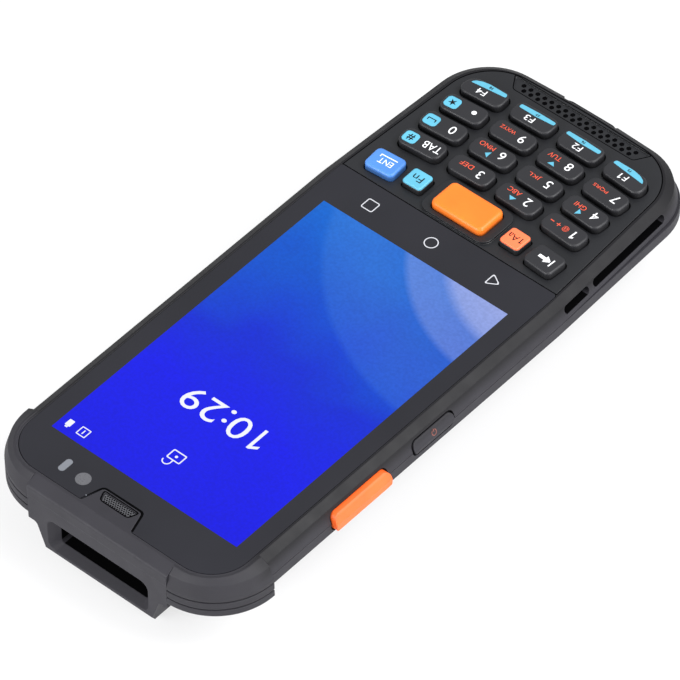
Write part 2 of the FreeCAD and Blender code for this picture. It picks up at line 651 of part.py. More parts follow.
def side_slot(body, name, middle, length, low, high, round_size, hand):
    """Cuts the hole of a side button through the wall on one side."""
    sketch = sideways(body, name, side_inner * hand - hand * cut_lead)
    outline(sketch, [
        (middle - length / 2 - side_button_gap, low - side_button_gap, round_size),
        (middle + length / 2 + side_button_gap, low - side_button_gap, round_size),
        (middle + length / 2 + side_button_gap, high + side_button_gap, round_size),
        (middle - length / 2 - side_button_gap, high + side_button_gap, round_size),
    ])
    return pocket(body, sketch, through_wall, forwards=hand > 0)


# Front housing

def glass_corners(gap):
    """The front glass's outline with the notch for the earpiece tab, grown by a gap."""
    half = glass_half_width + gap
    high = glass_high_y + gap
    low = glass_low_y - gap
    root = tab_root_half - gap
    tip = tab_tip_half - gap
    return [
        (half, high, glass_radius),
        (tab_middle + root, high, tab_radius),
        (tab_middle + tip, tab_tip_y + gap, tab_radius),
        (tab_middle - tip, tab_tip_y + gap, tab_radius),
        (tab_middle - root, high, tab_radius),
        (-half, high, glass_radius),
        (-half, low, glass_low_radius),
        (half, low, glass_low_radius),
    ]


def panel_corners(gap):
    """The keypad panel's outline, grown by a gap."""
    high = panel_high_y + gap
    low = panel_low_y - gap
    return [
        (panel_high_half + gap, high),
        (-panel_high_half - gap, high),
        (-panel_low_half - gap, low + panel_bow, panel_radius + gap),
        (as_size(0), low, foot_bow_radius),
        (panel_low_half + gap, low + panel_bow, panel_radius + gap),
    ]


def ear_corners(gap):
    """The earpiece grille's outline, a trapezoid whose longer side is towards the display."""
    return [
        (tab_middle - ear_half - gap, ear_low - gap, ear_radius),
        (tab_middle + ear_half + gap, ear_low - gap, ear_radius),
        (tab_middle + ear_half - ear_slope + gap, ear_high + gap, ear_radius),
        (tab_middle - ear_half + ear_slope - gap, ear_high + gap, ear_radius),
    ]


def head_block(body):
    """The middle of the scan end in the front housing, with its bevel up to the glass."""
    sketch = outline(sideways(body, "head_side", 0), [
        (cavity_end - housing_wall, seam_height),
        (head_end, seam_height),
        (head_end, glass_top - head_bevel_drop, head_bevel_radius),
        (head_end - head_bevel, glass_top),
        (cavity_end - housing_wall, glass_top),
    ])
    pad(body, sketch, head_half_width * 2, midway=True)


def strap_slots(body):
    """The two strap slots under the rim of the grip, each with a bridge across it."""
    spans = [
        ("upper", slot_bridge_y + slot_bridge / 2, slot_start_y),
        ("lower", slot_end_y, slot_bridge_y - slot_bridge / 2),
    ]
    for hand, side in ((-1, "left"), (1, "right")):
        for part, low, high in spans:
            sketch = sideways(body, f"strap_{side}_{part}", slot_floor * hand)
            box_outline(sketch, low, high, slot_high - slot_height, slot_high, slot_radius)
            pocket(body, sketch, body_half_width, forwards=hand > 0)


def screw_places():
    return [
        (screw_end_x, screw_end_y), (-screw_end_x, screw_end_y),
        (-screw_foot_x, screw_foot_y), (screw_foot_x, screw_foot_y),
    ]


def side_slots(body):
    """The holes of the three side buttons."""
    side_slot(body, "trigger_hole", trigger_y, trigger_length, trigger_low, trigger_high,
              trigger_radius, -1)
    for hand, side in ((-1, "left"), (1, "right")):
        side_slot(body, f"power_hole_{side}", power_y, power_length,
                  power_low, power_high, power_radius, hand)


def flap_recess(body):
    """The flat in the foot end that the port cover closes against."""
    sketch = facing(body, "flap_recess", recess_floor)
    box_outline(sketch, -flap_half - flap_gap, flap_half + flap_gap,
                flap_pin_height - flap_thickness / 2 - flap_gap, glass_top + flap_gap)
    return pocket(body, sketch, body_end, forwards=True)


def front_housing():
    body = new_body("front_housing")
    loft(body, "shell", front_levels(body, as_size(0), as_size(0)))
    head_block(body)

    cavity = outline(level(body, "display_cavity", seam_height), [
        (side_inner, cavity_end, body_end_radius - housing_wall),
        (-side_inner, cavity_end, body_end_radius - housing_wall),
        (-side_inner, waist_y + wide_gap, key_radius),
        (side_inner, waist_y + wide_gap, key_radius),
    ])
    pocket(body, cavity, shelf_low - seam_height, forwards=True)

    seat = outline(level(body, "panel_seat", panel_bottom), panel_corners(glass_gap))
    pocket(body, seat, panel_thickness * 2, forwards=True)
    keys = outline(level(body, "keypad_cavity", seam_height), [
        (panel_high_half - panel_high_seat, panel_high_y - panel_glass_seat),
        (-panel_high_half + panel_high_seat, panel_high_y - panel_glass_seat),
        (-panel_low_half + panel_seat, keypad_low_y, keypad_radius),
        (panel_low_half - panel_seat, keypad_low_y, keypad_radius),
    ])
    pocket(body, keys, panel_bottom - seam_height, forwards=True)
    speaker_hole = box_outline(
        level(body, "speaker_cavity", seam_height), -speaker_half - fit_gap,
        speaker_half + fit_gap, grille_y - speaker_half_width - fit_gap,
        grille_y + speaker_half_width + fit_gap)
    pocket(body, speaker_hole, panel_bottom - seam_height, forwards=True)

    glass_recess = outline(level(body, "glass_recess", glass_seat), glass_corners(glass_gap))
    pocket(body, glass_recess, glass_thickness * 2, forwards=True)
    display_hole = box_outline(
        level(body, "display_hole", shelf_low - fit_gap), -tray_inner_half, tray_inner_half,
        display_low_y - display_gap, display_high_y + display_gap)
    pocket(body, display_hole, shelf + fit_gap * 2, forwards=True)

    small_holes = level(body, "small_holes", shelf_low - fit_gap)
    round_outline(small_holes, front_camera_x, front_camera_y, front_camera_radius + fit_gap)
    sensor_corners = sensor_half_width + fit_gap
    box_outline(small_holes, sensor_x - sensor_corners, sensor_x + sensor_corners,
                sensor_y - sensor_half_length - fit_gap, sensor_y + sensor_half_length + fit_gap,
                sensor_half_width)
    pocket(body, small_holes, shelf + fit_gap * 2, forwards=True)

    ear_recess = outline(level(body, "ear_recess", glass_top - ear_depth), ear_corners(fit_gap / 2))
    pocket(body, ear_recess, ear_depth * 2, forwards=True)
    ear_slit = box_outline(
        level(body, "ear_slit", shelf_low - fit_gap), tab_middle - ear_half + ear_slope * 2,
        tab_middle + ear_half - ear_slope * 2, ear_low + ear_radius, ear_high - ear_radius)
    pocket(body, ear_slit, glass_thickness + shelf, forwards=True)

    side_slots(body)
    strap_slots(body)
    flap_recess(body)

    bosses = level(body, "bosses", seam_height)
    for x, y in screw_places():
        round_outline(bosses, x, y, screw_radius + screw_gap + screw_boss)
    pad(body, bosses, shelf_low - seam_height)
    holes = level(body, "screw_holes", seam_height)
    for x, y in screw_places():
        round_outline(holes, x, y, screw_radius + screw_gap)
    pocket(body, holes, screw_reach + screw_gap * 2, forwards=True)
    return body


# Rear housing

def rear_levels(body):
    """The outlines of the rear housing's outside, from the seam down to the flat of the back."""
    grip = rear_grip_half_width
    seam = outline(level(body, "at_seam", seam_height - seam_line), body_corners(
        as_size(0), as_size(0), as_size(0), body_end_radius, foot_radius, grip))
    wall = outline(level(body, "at_wall_foot", wall_foot), body_corners(
        as_size(0), as_size(0), as_size(0), body_end_radius, foot_radius, grip))
    knee = outline(level(body, "at_knee", belly_knee), body_corners(
        knee_inset, knee_end_inset, knee_foot_inset, body_end_radius - wide_gap,
        foot_radius - wide_gap, grip))
    back = outline(level(body, "at_back", 0), body_corners(
        back_inset, back_end_inset, back_foot_inset, back_end_radius, back_foot_radius, grip))
    return [seam, wall, knee, back]


def hump(body):
    """The scan head's hump: flat below, hollowed into the belly, with a sloping chin."""
    sketch = outline(facing(body, "hump_end", head_end), [
        (-head_half_width, seam_height),
        (-head_half_width, hump_shoulder_height),
        (-hump_shoulder_half, hump_shoulder_height, shoulder_radius),
        (-hump_half, as_size(0), hump_radius),
        (hump_half, as_size(0), hump_radius),
        (hump_shoulder_half, hump_shoulder_height, shoulder_radius),
        (head_half_width, hump_shoulder_height),
        (head_half_width, seam_height),
    ])
    pad(body, sketch, head_end - hump_start)
    chin = outline(sideways(body, "chin", 0), [
        (head_end, chin_height),
        (head_end - chin_slope, chin_low),
        (head_end - chin_tuck, -fit_gap),
        (head_end + chin_tuck, -fit_gap),
        (head_end + chin_tuck, chin_height),
    ])
    pocket(body, chin, head_half_width * 2, midway=True)


def window_recess(body):
    """The flared recess in the scan head, the slot of its glass and the engine's bay."""
    mouth = box_outline(
        facing(body, "window_mouth", head_end + fit_gap), -window_half - window_flare,
        window_half + window_flare, window_low - window_flare_up, window_high + window_flare_up,
        window_mouth_radius)
    throat = box_outline(
        facing(body, "window_throat", head_end - window_flare_depth), -window_half, window_half,
        window_low, window_high, window_radius)
    loft(body, "window_flare", [mouth, throat], "SubtractiveLoft")
    tunnel = box_outline(facing(body, "window_tunnel", head_window_y), -window_half,
                         window_half, window_low, window_high, window_radius)
    pocket(body, tunnel, window_depth - window_flare_depth + fit_gap)
    slot = box_outline(
        level(body, "window_slot", engine_floor - fit_gap),
        -window_half - window_lap - fit_gap, window_half + window_lap + fit_gap,
        head_window_y - window_thickness - fit_gap, head_window_y + fit_gap / 2)
    pocket(body, slot, seam_height, forwards=True)
    bay = box_outline(
        level(body, "engine_bay", engine_floor), -engine_half_width - display_gap,
        engine_half_width + display_gap,
        head_window_y - window_thickness - engine_length - display_gap * 2,
        head_window_y - window_thickness)
    pocket(body, bay, seam_height, forwards=True)


def battery_side(body):
    """The cover's recess, the battery bay, the latch's track and the rear camera's bores."""
    recess = box_outline(
        level(body, "cover_recess", cover_thickness), -cover_half - cover_gap,
        cover_half + cover_gap, cover_low_y - cover_gap, cover_high_y + cover_gap, cover_radius)
    pocket(body, recess, cover_thickness * 2)
    bay = box_outline(
        level(body, "battery_bay", battery_bottom + battery_thickness + battery_gap), -bay_half,
        bay_half, battery_low_y - battery_gap, battery_high_y + battery_gap, key_radius)
    pocket(body, bay, battery_thickness * 2)
    tabs = level(body, "tab_slots", cover_thickness + tab_thickness + fit_gap)
    for hand in (-1, 1):
        middle = cover_tab_x * hand
        box_outline(tabs, middle - cover_tab_half - fit_gap, middle + cover_tab_half + fit_gap,
                    cover_high_y - cover_seat, cover_high_y + cover_tab + fit_gap * 3)
    pocket(body, tabs, tab_thickness + fit_gap * 2)
    track = box_outline(
        level(body, "latch_track", cover_thickness), -latch_half - latch_gap,
        latch_half + latch_gap, cover_low_y - latch_length - latch_travel - latch_gap * 2,
        cover_low_y)
    pocket(body, track, cover_thickness * 2)
    windows = level(body, "camera_recess", camera_sink + camera_window)
    round_outline(windows, camera_x, camera_y, camera_window_radius + fit_gap)
    round_outline(windows, camera_x + lamp_x, camera_y, lamp_radius + fit_gap)
    pocket(body, windows, cover_thickness * 2)
    bores = level(body, "camera_bores", floor_height + fit_gap)
    round_outline(bores, camera_x, camera_y, camera_radius + fit_gap)
    pocket(body, bores, floor_height)


def rear_housing():
    body = new_body("rear_housing")
    loft(body, "shell", rear_levels(body))
    lip = outline(level(body, "seam_lip", seam_height - seam_line), body_corners(
        seam_step, seam_step, seam_step, body_end_radius - seam_step,
        foot_radius - seam_step))
    pad(body, lip, seam_line)
    hump(body)

    cavity = outline(level(body, "cavity", main_height), body_corners(
        housing_wall, housing_wall, housing_wall, body_end_radius - housing_wall,
        foot_radius - housing_wall))
    pocket(body, cavity, seam_height, forwards=True)
    ledge = main_half_width - main_ledge
    well = box_outline(
        level(body, "board_well", floor_height), -ledge, ledge, main_low_y - fit_gap,
        main_high_y - cut_lead, well_radius)
    pocket(body, well, seam_height, forwards=True)
    window_recess(body)
    battery_side(body)
    side_slots(body)
    flap_recess(body)
    port = facing(body, "port_hole", recess_floor - fit_gap)
    box_outline(port, -port_half - port_margin, port_half + port_margin,
                port_height - port_half_height - port_margin,
                port_height + port_half_height + port_margin, port_half_height)
    pocket(body, port, port_length + housing_wall, forwards=False)

    bosses = level(body, "bosses", screw_seat)
    for x, y in screw_places():
        round_outline(bosses, x, y, screw_head_radius + screw_gap * 2)
    pad(body, bosses, seam_height - screw_seat)
    holes = level(body, "screw_holes", seam_height + fit_gap)
    for x, y in screw_places():
        round_outline(holes, x, y, screw_radius + screw_gap)
    pocket(body, holes, seam_height)
    heads = level(body, "screw_heads", screw_seat)
    for x, y in screw_places():
        round_outline(heads, x, y, screw_head_radius + screw_gap)
    pocket(body, heads, screw_seat * 2)
    return body


# Bumpers

def bumper(label, hand):
    """A rubber corner: the housings' outside grown outwards, less that outside itself."""
    body = new_body(label)
    low = outline(level(body, "low", bumper_low), body_corners(
        bumper_bevel - bumper_rise, bumper_bevel - bumper_rise, as_size(0),
        body_end_radius, foot_radius))
    full = outline(level(body, "full", bumper_low + bumper_bevel), body_corners(
        -bumper_rise, -bumper_rise, as_size(0), body_end_radius + bumper_rise, foot_radius))
    loft(body, "outside", [low, full] + front_levels(body, bumper_rise, bumper_top_rise))

    knee = outline(level(body, "knee", belly_knee), body_corners(
        knee_inset, knee_end_inset, knee_foot_inset, body_end_radius - wide_gap,
        foot_radius - wide_gap))
    wall = outline(level(body, "wall", wall_foot), body_corners(
        as_size(0), as_size(0), as_size(0), body_end_radius, foot_radius))
    bare = [outline(level(body, f"bare_{name}", height), corners) for name, height, corners in (
        ("seam", seam_height, body_corners(
            as_size(0), as_size(0), as_size(0), body_end_radius, foot_radius)),
        ("edge", rim_edge_height, body_corners(
            rim_edge_inset, rim_edge_end_inset, as_size(0), rim_edge_end_radius, foot_radius)),
        ("land", glass_top, body_corners(
            land_inset, land_end_inset, land_foot_inset, land_end_radius,
            foot_radius - land_foot_inset)),
    )]
    loft(body, "inside", [knee, wall] + bare, "SubtractiveLoft")

    wide = body_half_width * 2
    rest = level(body, "rest", 0)
    if hand > 0:
        box_outline(rest, -wide, head_half_width + fit_gap / 2, foot_y * 2, body_end * 2)
    else:
        box_outline(rest, -head_half_width - fit_gap / 2, wide, foot_y * 2, body_end * 2)
    pocket(body, rest, glass_top * 2, forwards=True)
    sides = box_outline(level(body, "sides", 0), -wide, wide, foot_y * 2, bumper_start_y)
    pocket(body, sides, glass_top * 2, forwards=True)

    for count in range(2):
        groove = level(body, f"groove_{count}", bumper_groove_low + bumper_groove_pitch * count)
        outline(groove, body_corners(
            -bumper_rise * 3, -bumper_rise * 3, as_size(0), body_end_radius + bumper_rise * 3,
            foot_radius))
        outline(groove, body_corners(
            bumper_groove_depth - bumper_rise, bumper_groove_depth - bumper_rise, as_size(0),
            body_end_radius + bumper_rise - bumper_groove_depth, foot_radius))
        pocket(body, groove, bumper_groove, forwards=True)
    return body


# Glass, display and what lies behind them

def front_glass():
    body = new_body("front_glass")
    sketch = outline(level(body, "plan", glass_seat), glass_corners(as_size(0)))
    pad(body, sketch, glass_thickness)


def display_module():
    body = new_body("display_module")
    sketch = box_outline(level(body, "plan", display_bottom), -display_half_width,
                         display_half_width, display_low_y, display_high_y)
    pad(body, sketch, display_thickness)


def display_tray():
    """The metal tray that holds the display up to the glass."""
    body = new_body("display_tray")
    outer = tray_inner_half + tray_wall
    low = display_low_y - display_gap
    high = display_high_y + display_gap
    plan = box_outline(level(body, "plan", tray_bottom), -outer, outer, low - tray_wall,
                       high + tray_wall, key_radius)
    pad(body, plan, shelf_low - tray_bottom)
    inside = box_outline(level(body, "inside", display_bottom), -tray_inner_half,
                         tray_inner_half, low, high)
    pocket(body, inside, display_thickness * 2, forwards=True)


def front_camera():
    body = new_body("front_camera")
    sketch = round_outline(level(body, "barrel", glass_seat - front_camera_length),
                           front_camera_x, front_camera_y, front_camera_radius)
    pad(body, sketch, front_camera_length)
    iris = round_outline(level(body, "iris", glass_seat - sensor_half_width), front_camera_x,
                         front_camera_y, front_camera_radius / 2)
    pocket(body, iris, glass_thickness, forwards=True)


def sensor_light_guide():
    body = new_body("sensor_light_guide")
    sketch = box_outline(
        level(body, "plan", glass_seat - sensor_depth), sensor_x - sensor_half_width,
        sensor_x + sensor_half_width, sensor_y - sensor_half_length,
        sensor_y + sensor_half_length, sensor_half_width - fit_gap / 2)
    pad(body, sketch, sensor_depth)


def earpiece_mesh():
    body = new_body("earpiece_mesh")
    sketch = outline(level(body, "plan", glass_top - ear_depth), ear_corners(as_size(0)))
    pad(body, sketch, ear_mesh)


def earpiece_receiver():
    body = new_body("earpiece_receiver")
    middle = (ear_low + ear_high) / 2 + ear_radius
    sketch = box_outline(
        level(body, "plan", shelf_low - receiver_depth), tab_middle - receiver_half,
        tab_middle + receiver_half, middle - receiver_half_width, middle + receiver_half_width)
    pad(body, sketch, receiver_depth)


# Keypad

def key_table():
    """Every key: node, x, y, width, depth, corner radius, rise and turn in degrees."""
    table = [
        ("key_back", -top_key_x, top_row_y, top_key_width, top_key_depth, top_key_radius,
         key_rise, -key_outer_turn),
        ("key_enter", top_key_x, top_row_y, top_key_width, top_key_depth, top_key_radius,
         key_rise, key_outer_turn),
        ("key_shift", -cap_key_x, cap_row_y, cap_key_width, cap_key_depth, cap_key_radius,
         key_rise, -key_inner_turn),
        ("key_function", cap_key_x, cap_row_y, cap_key_width, cap_key_depth, cap_key_radius,
         key_rise, key_inner_turn),
        ("key_scan", as_size(0), scan_key_y, scan_key_width, scan_key_depth, scan_key_radius,
         scan_key_rise, as_size(0)),
    ]
    names = (("1", "2", "3", "tab"), ("4", "5", "6", "0"), ("7", "8", "9", "dot"),
             ("f1", "f2", "f3", "f4"))
    for row, labels in enumerate(names):
        for column, label in enumerate(labels):
            hand = -1 if column < 2 else 1
            inner = column in (1, 2)
            y = key_first_y - key_pitch_y * row - key_inner_drop * (1 if inner else 0)
            table.append((
                f"key_{label}", key_pitch_x * (column - 1.5), y, key_width, key_depth,
                key_radius, key_rise, (key_inner_turn if inner else key_outer_turn) * hand))
    return table


def key_corners(label, width, depth, radius, grow):
    """A key's outline about its own middle; the end function keys have one larger corner."""
    half = width / 2 + grow
    tall = depth / 2 + grow
    left_low = key_outer_radius if label == "key_f1" else radius
    right_low = key_outer_radius if label == "key_f4" else radius
    return [(-half, -tall, left_low), (half, -tall, right_low), (half, tall, radius),
            (-half, tall, radius)]


def set_down(item, x, y, turn):
    """Moves a key's body to its place on the keypad and turns it about +Z."""
    item.Placement = FreeCAD.Placement(
        VECTOR(float(x), float(y), 0), FreeCAD.Rotation(VECTOR(0, 0, 1), float(turn)))
    bind(item, "Placement.Base.x", x)
    bind(item, "Placement.Base.y", y)
    if abs(float(turn)) > 0:
        bind(item, "Placement.Rotation.Angle", turn)


def key(label, x, y, width, depth, radius, rise, turn):
    """One key: its cap through the panel, its flange under the panel and its stem."""
    body = new_body(label)
    cap = outline(level(body, "cap", flange_bottom), key_corners(label, width, depth, radius, 0))
    pad(body, cap, glass_top + rise - flange_bottom)
    top = glass_top + rise
    dress(body, "Chamfer", "edge", "Size", key_edge, lambda edge: flat_at(edge, top))
    lip = outline(level(body, "lip", flange_bottom),
                  key_corners(label, width, depth, 0, key_lip))
    pad(body, lip, key_flange)
    stem = box_outline(level(body, "stem", stem_bottom), -key_stem, key_stem, -key_stem,
                       key_stem)
    pad(body, stem, flange_bottom - stem_bottom + key_flange / 2)
    set_down(body, x, y, turn)
    return body


def keypad_panel():
    """The keypad's panel: a raised rim round the scan key, a hole for each key and the grille."""
    body = new_body("keypad_panel")
    plan = outline(level(body, "plan", panel_bottom), panel_corners(as_size(0)))
    pad(body, plan, panel_thickness)
    rim = box_outline(level(body, "rim", glass_top), -scan_rim_half, scan_rim_half,
                      scan_rim_low, scan_rim_high, scan_rim_radius)
    pad(body, rim, scan_rim_rise)
    for label, x, y, width, depth, radius, rise, turn in key_table():
        hole = level(body, f"hole_{label}", panel_bottom)
        outline(hole, key_corners(label, width, depth, radius, key_gap))
        hole.AttachmentOffset = FreeCAD.Placement(
            VECTOR(float(x), float(y), float(panel_bottom)),
            FreeCAD.Rotation(VECTOR(0, 0, 1), float(turn)))
        bind(hole, "AttachmentOffset.Base.x", x)
        bind(hole, "AttachmentOffset.Base.y", y)
        pocket(body, hole, panel_thickness + scan_rim_rise * 2, forwards=True)
    grille_low = grille_y - grille_row / 2 - grille_margin
    grille_high = grille_y + grille_row / 2 + grille_margin
    recess = outline(level(body, "grille_recess", glass_top - grille_recess), [
        (-grille_half - grille_margin * 2, grille_low, grille_margin / 2),
        (grille_half + grille_margin * 2, grille_low, grille_margin / 2),
        (grille_half, grille_high, grille_margin / 2),
        (-grille_half, grille_high, grille_margin / 2),
    ])
    pocket(body, recess, grille_recess * 2, forwards=True)
    for row, count in enumerate((16, 17)):
        holes = level(body, f"grille_{row}", panel_bottom - fit_gap)
        start = -grille_pitch * (count - 1) / 2
        six_sided(holes, start, grille_y + grille_row * (0.5 - row), grille_hole)
        first = pocket(body, holes, panel_thickness * 2, forwards=True)
        rows = body.newObject("PartDesign::LinearPattern", f"grille_row_{row}")
        rows.Originals = [first]
        rows.Direction = (holes, ["H_Axis"])
        rows.Length = float(grille_pitch) * (count - 1)
        bind(rows, "Length", grille_pitch * (count - 1))
        rows.Occurrences = count
        body.Tip = rows
    return body


def keypad_board():
    body = new_body("keypad_board")
    half = panel_high_half - board_margin
    sketch = outline(level(body, "plan", seam_height - board_thickness), [
        (-half, board_low_y, board_radius),
        (half, board_low_y, board_radius),
        (half, panel_high_y - fit_gap),
        (-half, panel_high_y - fit_gap),
    ])
    pad(body, sketch, board_thickness)


def dome_sheet():
    """The film that lies on the keypad's board, with a dome under every key."""
    body = new_body("dome_sheet")
    half = panel_low_half - panel_seat - film_margin
    sketch = outline(level(body, "film", seam_height), [
        (-half, keypad_low_y + film_margin, keypad_radius),
        (half, keypad_low_y + film_margin, keypad_radius),
        (half, panel_high_y - panel_glass_seat - film_margin),
        (-half, panel_high_y - panel_glass_seat - film_margin),
    ])
    pad(body, sketch, dome_film)
    domes = level(body, "domes", seam_height)
    for label, x, y, width, depth, radius, rise, turn in key_table():
        box_outline(domes, x - dome_half, x + dome_half, y - dome_half, y + dome_half)
    pad(body, domes, dome_film + dome_rise)


def speaker():
    body = new_body("speaker")
    sketch = box_outline(
        level(body, "plan", panel_bottom - fit_gap - speaker_depth), -speaker_half, speaker_half,
        grille_y - speaker_half_width, grille_y + speaker_half_width)
    pad(body, sketch, speaker_depth)


# Scan head

def scan_window():
    body = new_body("scan_window")
    half = window_half + window_lap
    sketch = box_outline(facing(body, "plan", head_window_y), -half, half,
                         engine_floor - fit_gap, window_high + window_lap)
    pad(body, sketch, window_thickness)


def scan_engine():
    """The barcode engine: a cast block with its lens and its aiming lamp in front."""
    body = new_body("scan_engine")
    front = head_window_y - window_thickness - display_gap
    sketch = box_outline(level(body, "plan", engine_floor), -engine_half_width,
                         engine_half_width, front - engine_length, front)
    pad(body, sketch, engine_height)
    middle = (window_low + window_high) / 2
    lenses = facing(body, "lenses", front - cut_lead)
    round_outline(lenses, -engine_half_width / 2, middle, window_flare)
    round_outline(lenses, engine_half_width / 2, middle, window_flare)
    pocket(body, lenses, cut_lead * 2, forwards=True)


# Side buttons

def side_button(label, hand, middle, length, low, high, rise, radius, slack):
    """A side button: a cap that follows the wall's slope, on a flange inside the wall."""
    body = new_body(label)
    inner = side_inner - slack
    face = body_half_width + rise
    lean = (high - seam_height) * rim_edge_inset / (rim_edge_height - seam_height)
    corners = [
        (inner, low),
        (face - radius / 4, low),
        (face, low + radius / 2),
        (face, seam_height),
        (face - lean, high - radius / 4),
        (face - lean - radius / 4, high),
        (inner, high),
    ]
    if hand < 0:
        corners = [(-x, z) for x, z in reversed(corners)]
    cap = outline(facing(body, "cap", middle + length / 2), corners)
    pad(body, cap, length)
    dress(body, "Fillet", "ends", "Radius", radius, lambda edge: across(edge)
          and abs(abs(edge.CenterOfMass.y - float(middle)) - float(length) / 2) < 1e-3)
    flange = sideways(body, "flange", (inner - side_button_flange) * hand)
    box_outline(flange, middle - length / 2 - side_button_gap - side_button_lip,
                middle + length / 2 + side_button_gap + side_button_lip,
                low - side_button_lip, high + side_button_lip, radius)
    pad(body, flange, side_button_flange, backwards=hand < 0)
    return body


def side_switches():
    """The switches under the side buttons, one case with its plunger each."""
    reach = side_inner - fit_gap - side_button_flange - side_button_travel - fit_gap
    base = main_height + main_thickness
    places = [(-1, trigger_y), (-1, power_y)]
    places += [(1, power_y + volume_switch_half), (1, power_y - volume_switch_half)]
    parts = []
    for count, (hand, y) in enumerate(places, 1):
        case = document.addObject("Part::Box", f"switch_case_{count}")
        plunger = document.addObject("Part::Box", f"switch_plunger_{count}")
        inner = reach - switch_plunger - switch_depth
        for item, start, deep, wide, tall, lift in (
                (case, inner, switch_depth, switch_length, switch_height, as_size(0)),
                (plunger, inner + switch_depth, switch_plunger, switch_length / 3,
                 switch_height / 2, switch_height / 4)):
            bind(item, "Length", deep)
            bind(item, "Width", wide)
            bind(item, "Height", tall)
            bind(item, "Placement.Base.x", start if hand > 0 else -start - deep)
            bind(item, "Placement.Base.y", y - as_size(wide) / 2)
            bind(item, "Placement.Base.z", base + lift)
        joined = document.addObject("Part::Fuse", f"side_switch_{count}")
        joined.Base = case
        joined.Tool = plunger
        parts.append(joined)
    group = document.addObject("Part::Compound", "side_switches")
    group.Links = parts
    nodes.append(group)


# Board, battery, cover and latch

def main_board():
    """The main board, notched for the port and for the scan engine's bay."""
    body = new_body("main_board")
    sketch = outline(level(body, "plan", main_height), [
        (main_half_width, main_high_y, key_radius),
        (-main_half_width, main_high_y, key_radius),
        (-main_half_width, main_low_y, main_low_radius),
        (-port_half - port_margin, main_low_y),
        (-port_half - port_margin, flap_back + port_length + port_wall * 4),
        (port_half + port_margin, flap_back + port_length + port_wall * 4),
        (port_half + port_margin, main_low_y),
        (main_half_width, main_low_y, main_low_radius),
    ])
    pad(body, sketch, main_thickness)


def shield_can(label, middle_y, half_width, half_length):
    body = new_body(label)
    sketch = box_outline(level(body, "plan", main_height - shield_height), -half_width,
                         half_width, middle_y - half_length, middle_y + half_length)
    pad(body, sketch, shield_height)


def battery_pack():
    body = new_body("battery_pack")
    sketch = box_outline(level(body, "plan", battery_bottom), -battery_half_width,
                         battery_half_width, battery_low_y, battery_high_y, key_radius)
    pad(body, sketch, battery_thickness)
    ends = battery_bottom + battery_thickness
    dress(body, "Chamfer", "edges", "Size", key_edge,
          lambda edge: flat_at(edge, battery_bottom) or flat_at(edge, ends))


def battery_cover():
    """The battery cover: its plate, two tabs under the housing and a ledge for the latch."""
    body = new_body("battery_cover")
    plan = box_outline(level(body, "plan", 0), -cover_half, cover_half, cover_low_y,
                       cover_high_y, cover_radius - cover_gap)
    pad(body, plan, cover_thickness)
    tabs = level(body, "tabs", cover_thickness)
    for hand in (-1, 1):
        middle = cover_tab_x * hand
        box_outline(tabs, middle - cover_tab_half, middle + cover_tab_half,
                    cover_high_y - cover_seat + fit_gap, cover_high_y + cover_tab)
    pad(body, tabs, tab_thickness)
    notch = box_outline(level(body, "latch_notch", 0), -latch_half, latch_half,
                        cover_low_y - cover_gap, cover_low_y + cover_tab + latch_gap)
    pocket(body, notch, latch_sink + tab_thickness + fit_gap, forwards=True)
    return body


def battery_latch():
    """The battery cover's latch: a slider whose tongue reaches under the cover's ledge."""
    body = new_body("battery_latch")
    high = cover_low_y - cover_gap - latch_gap
    plan = box_outline(level(body, "plan", latch_sink), -latch_half, latch_half,
                       high - latch_length, high)
    pad(body, plan, cover_thickness - latch_sink - fit_gap)
    tongue = box_outline(level(body, "tongue", latch_sink), -latch_half + latch_gap,
                         latch_half - latch_gap, high - latch_gap, cover_low_y + cover_tab)
    pad(body, tongue, tab_thickness)
    for count in range(3):
        groove = level(body, f"grip_{count}", latch_sink + key_edge)
        middle = high - latch_length / 2 + (count - 1) * grip_pitch
        box_outline(groove, -grip_half, grip_half, middle - latch_gap,
                    middle + latch_gap)
        pocket(body, groove, cover_thickness)


# Rear camera and lamp

def rear_camera():
    body = new_body("rear_camera")
    sketch = round_outline(level(body, "barrel", camera_sink + camera_window), camera_x,
                           camera_y, camera_radius)
    pad(body, sketch, floor_height - camera_sink - camera_window)


def rear_camera_window():
    body = new_body("rear_camera_window")
    sketch = round_outline(level(body, "plan", camera_sink), camera_x, camera_y,
                           camera_window_radius)
    pad(body, sketch, camera_window)


def rear_lamp():
    body = new_body("rear_lamp")
    sketch = round_outline(level(body, "plan", camera_sink), camera_x + lamp_x, camera_y,
                           lamp_radius)
    pad(body, sketch, camera_window)


# Port and its cover

def usb_port():
    """The port's shell with its mouth and tongue."""
    body = new_body("usb_port")
    mouth = recess_floor + flap_plug + fit_gap
    shell = box_outline(facing(body, "shell", mouth + port_length), -port_half, port_half,
                        port_height - port_half_height, port_height + port_half_height,
                        port_half_height - fit_gap / 2)
    pad(body, shell, port_length)
    inner = port_half_height - port_wall
    hollow = box_outline(facing(body, "hollow", mouth - fit_gap), -port_half + port_wall,
                         port_half - port_wall, port_height - inner, port_height + inner,
                         inner - fit_gap / 2)
    pocket(body, hollow, port_length - port_wall * 3)
    tongue = box_outline(facing(body, "tongue", mouth + port_length), -port_tongue_half,
                         port_tongue_half, port_height - port_tongue / 2,
                         port_height + port_tongue / 2)
    pad(body, tongue, port_length - port_wall * 2)


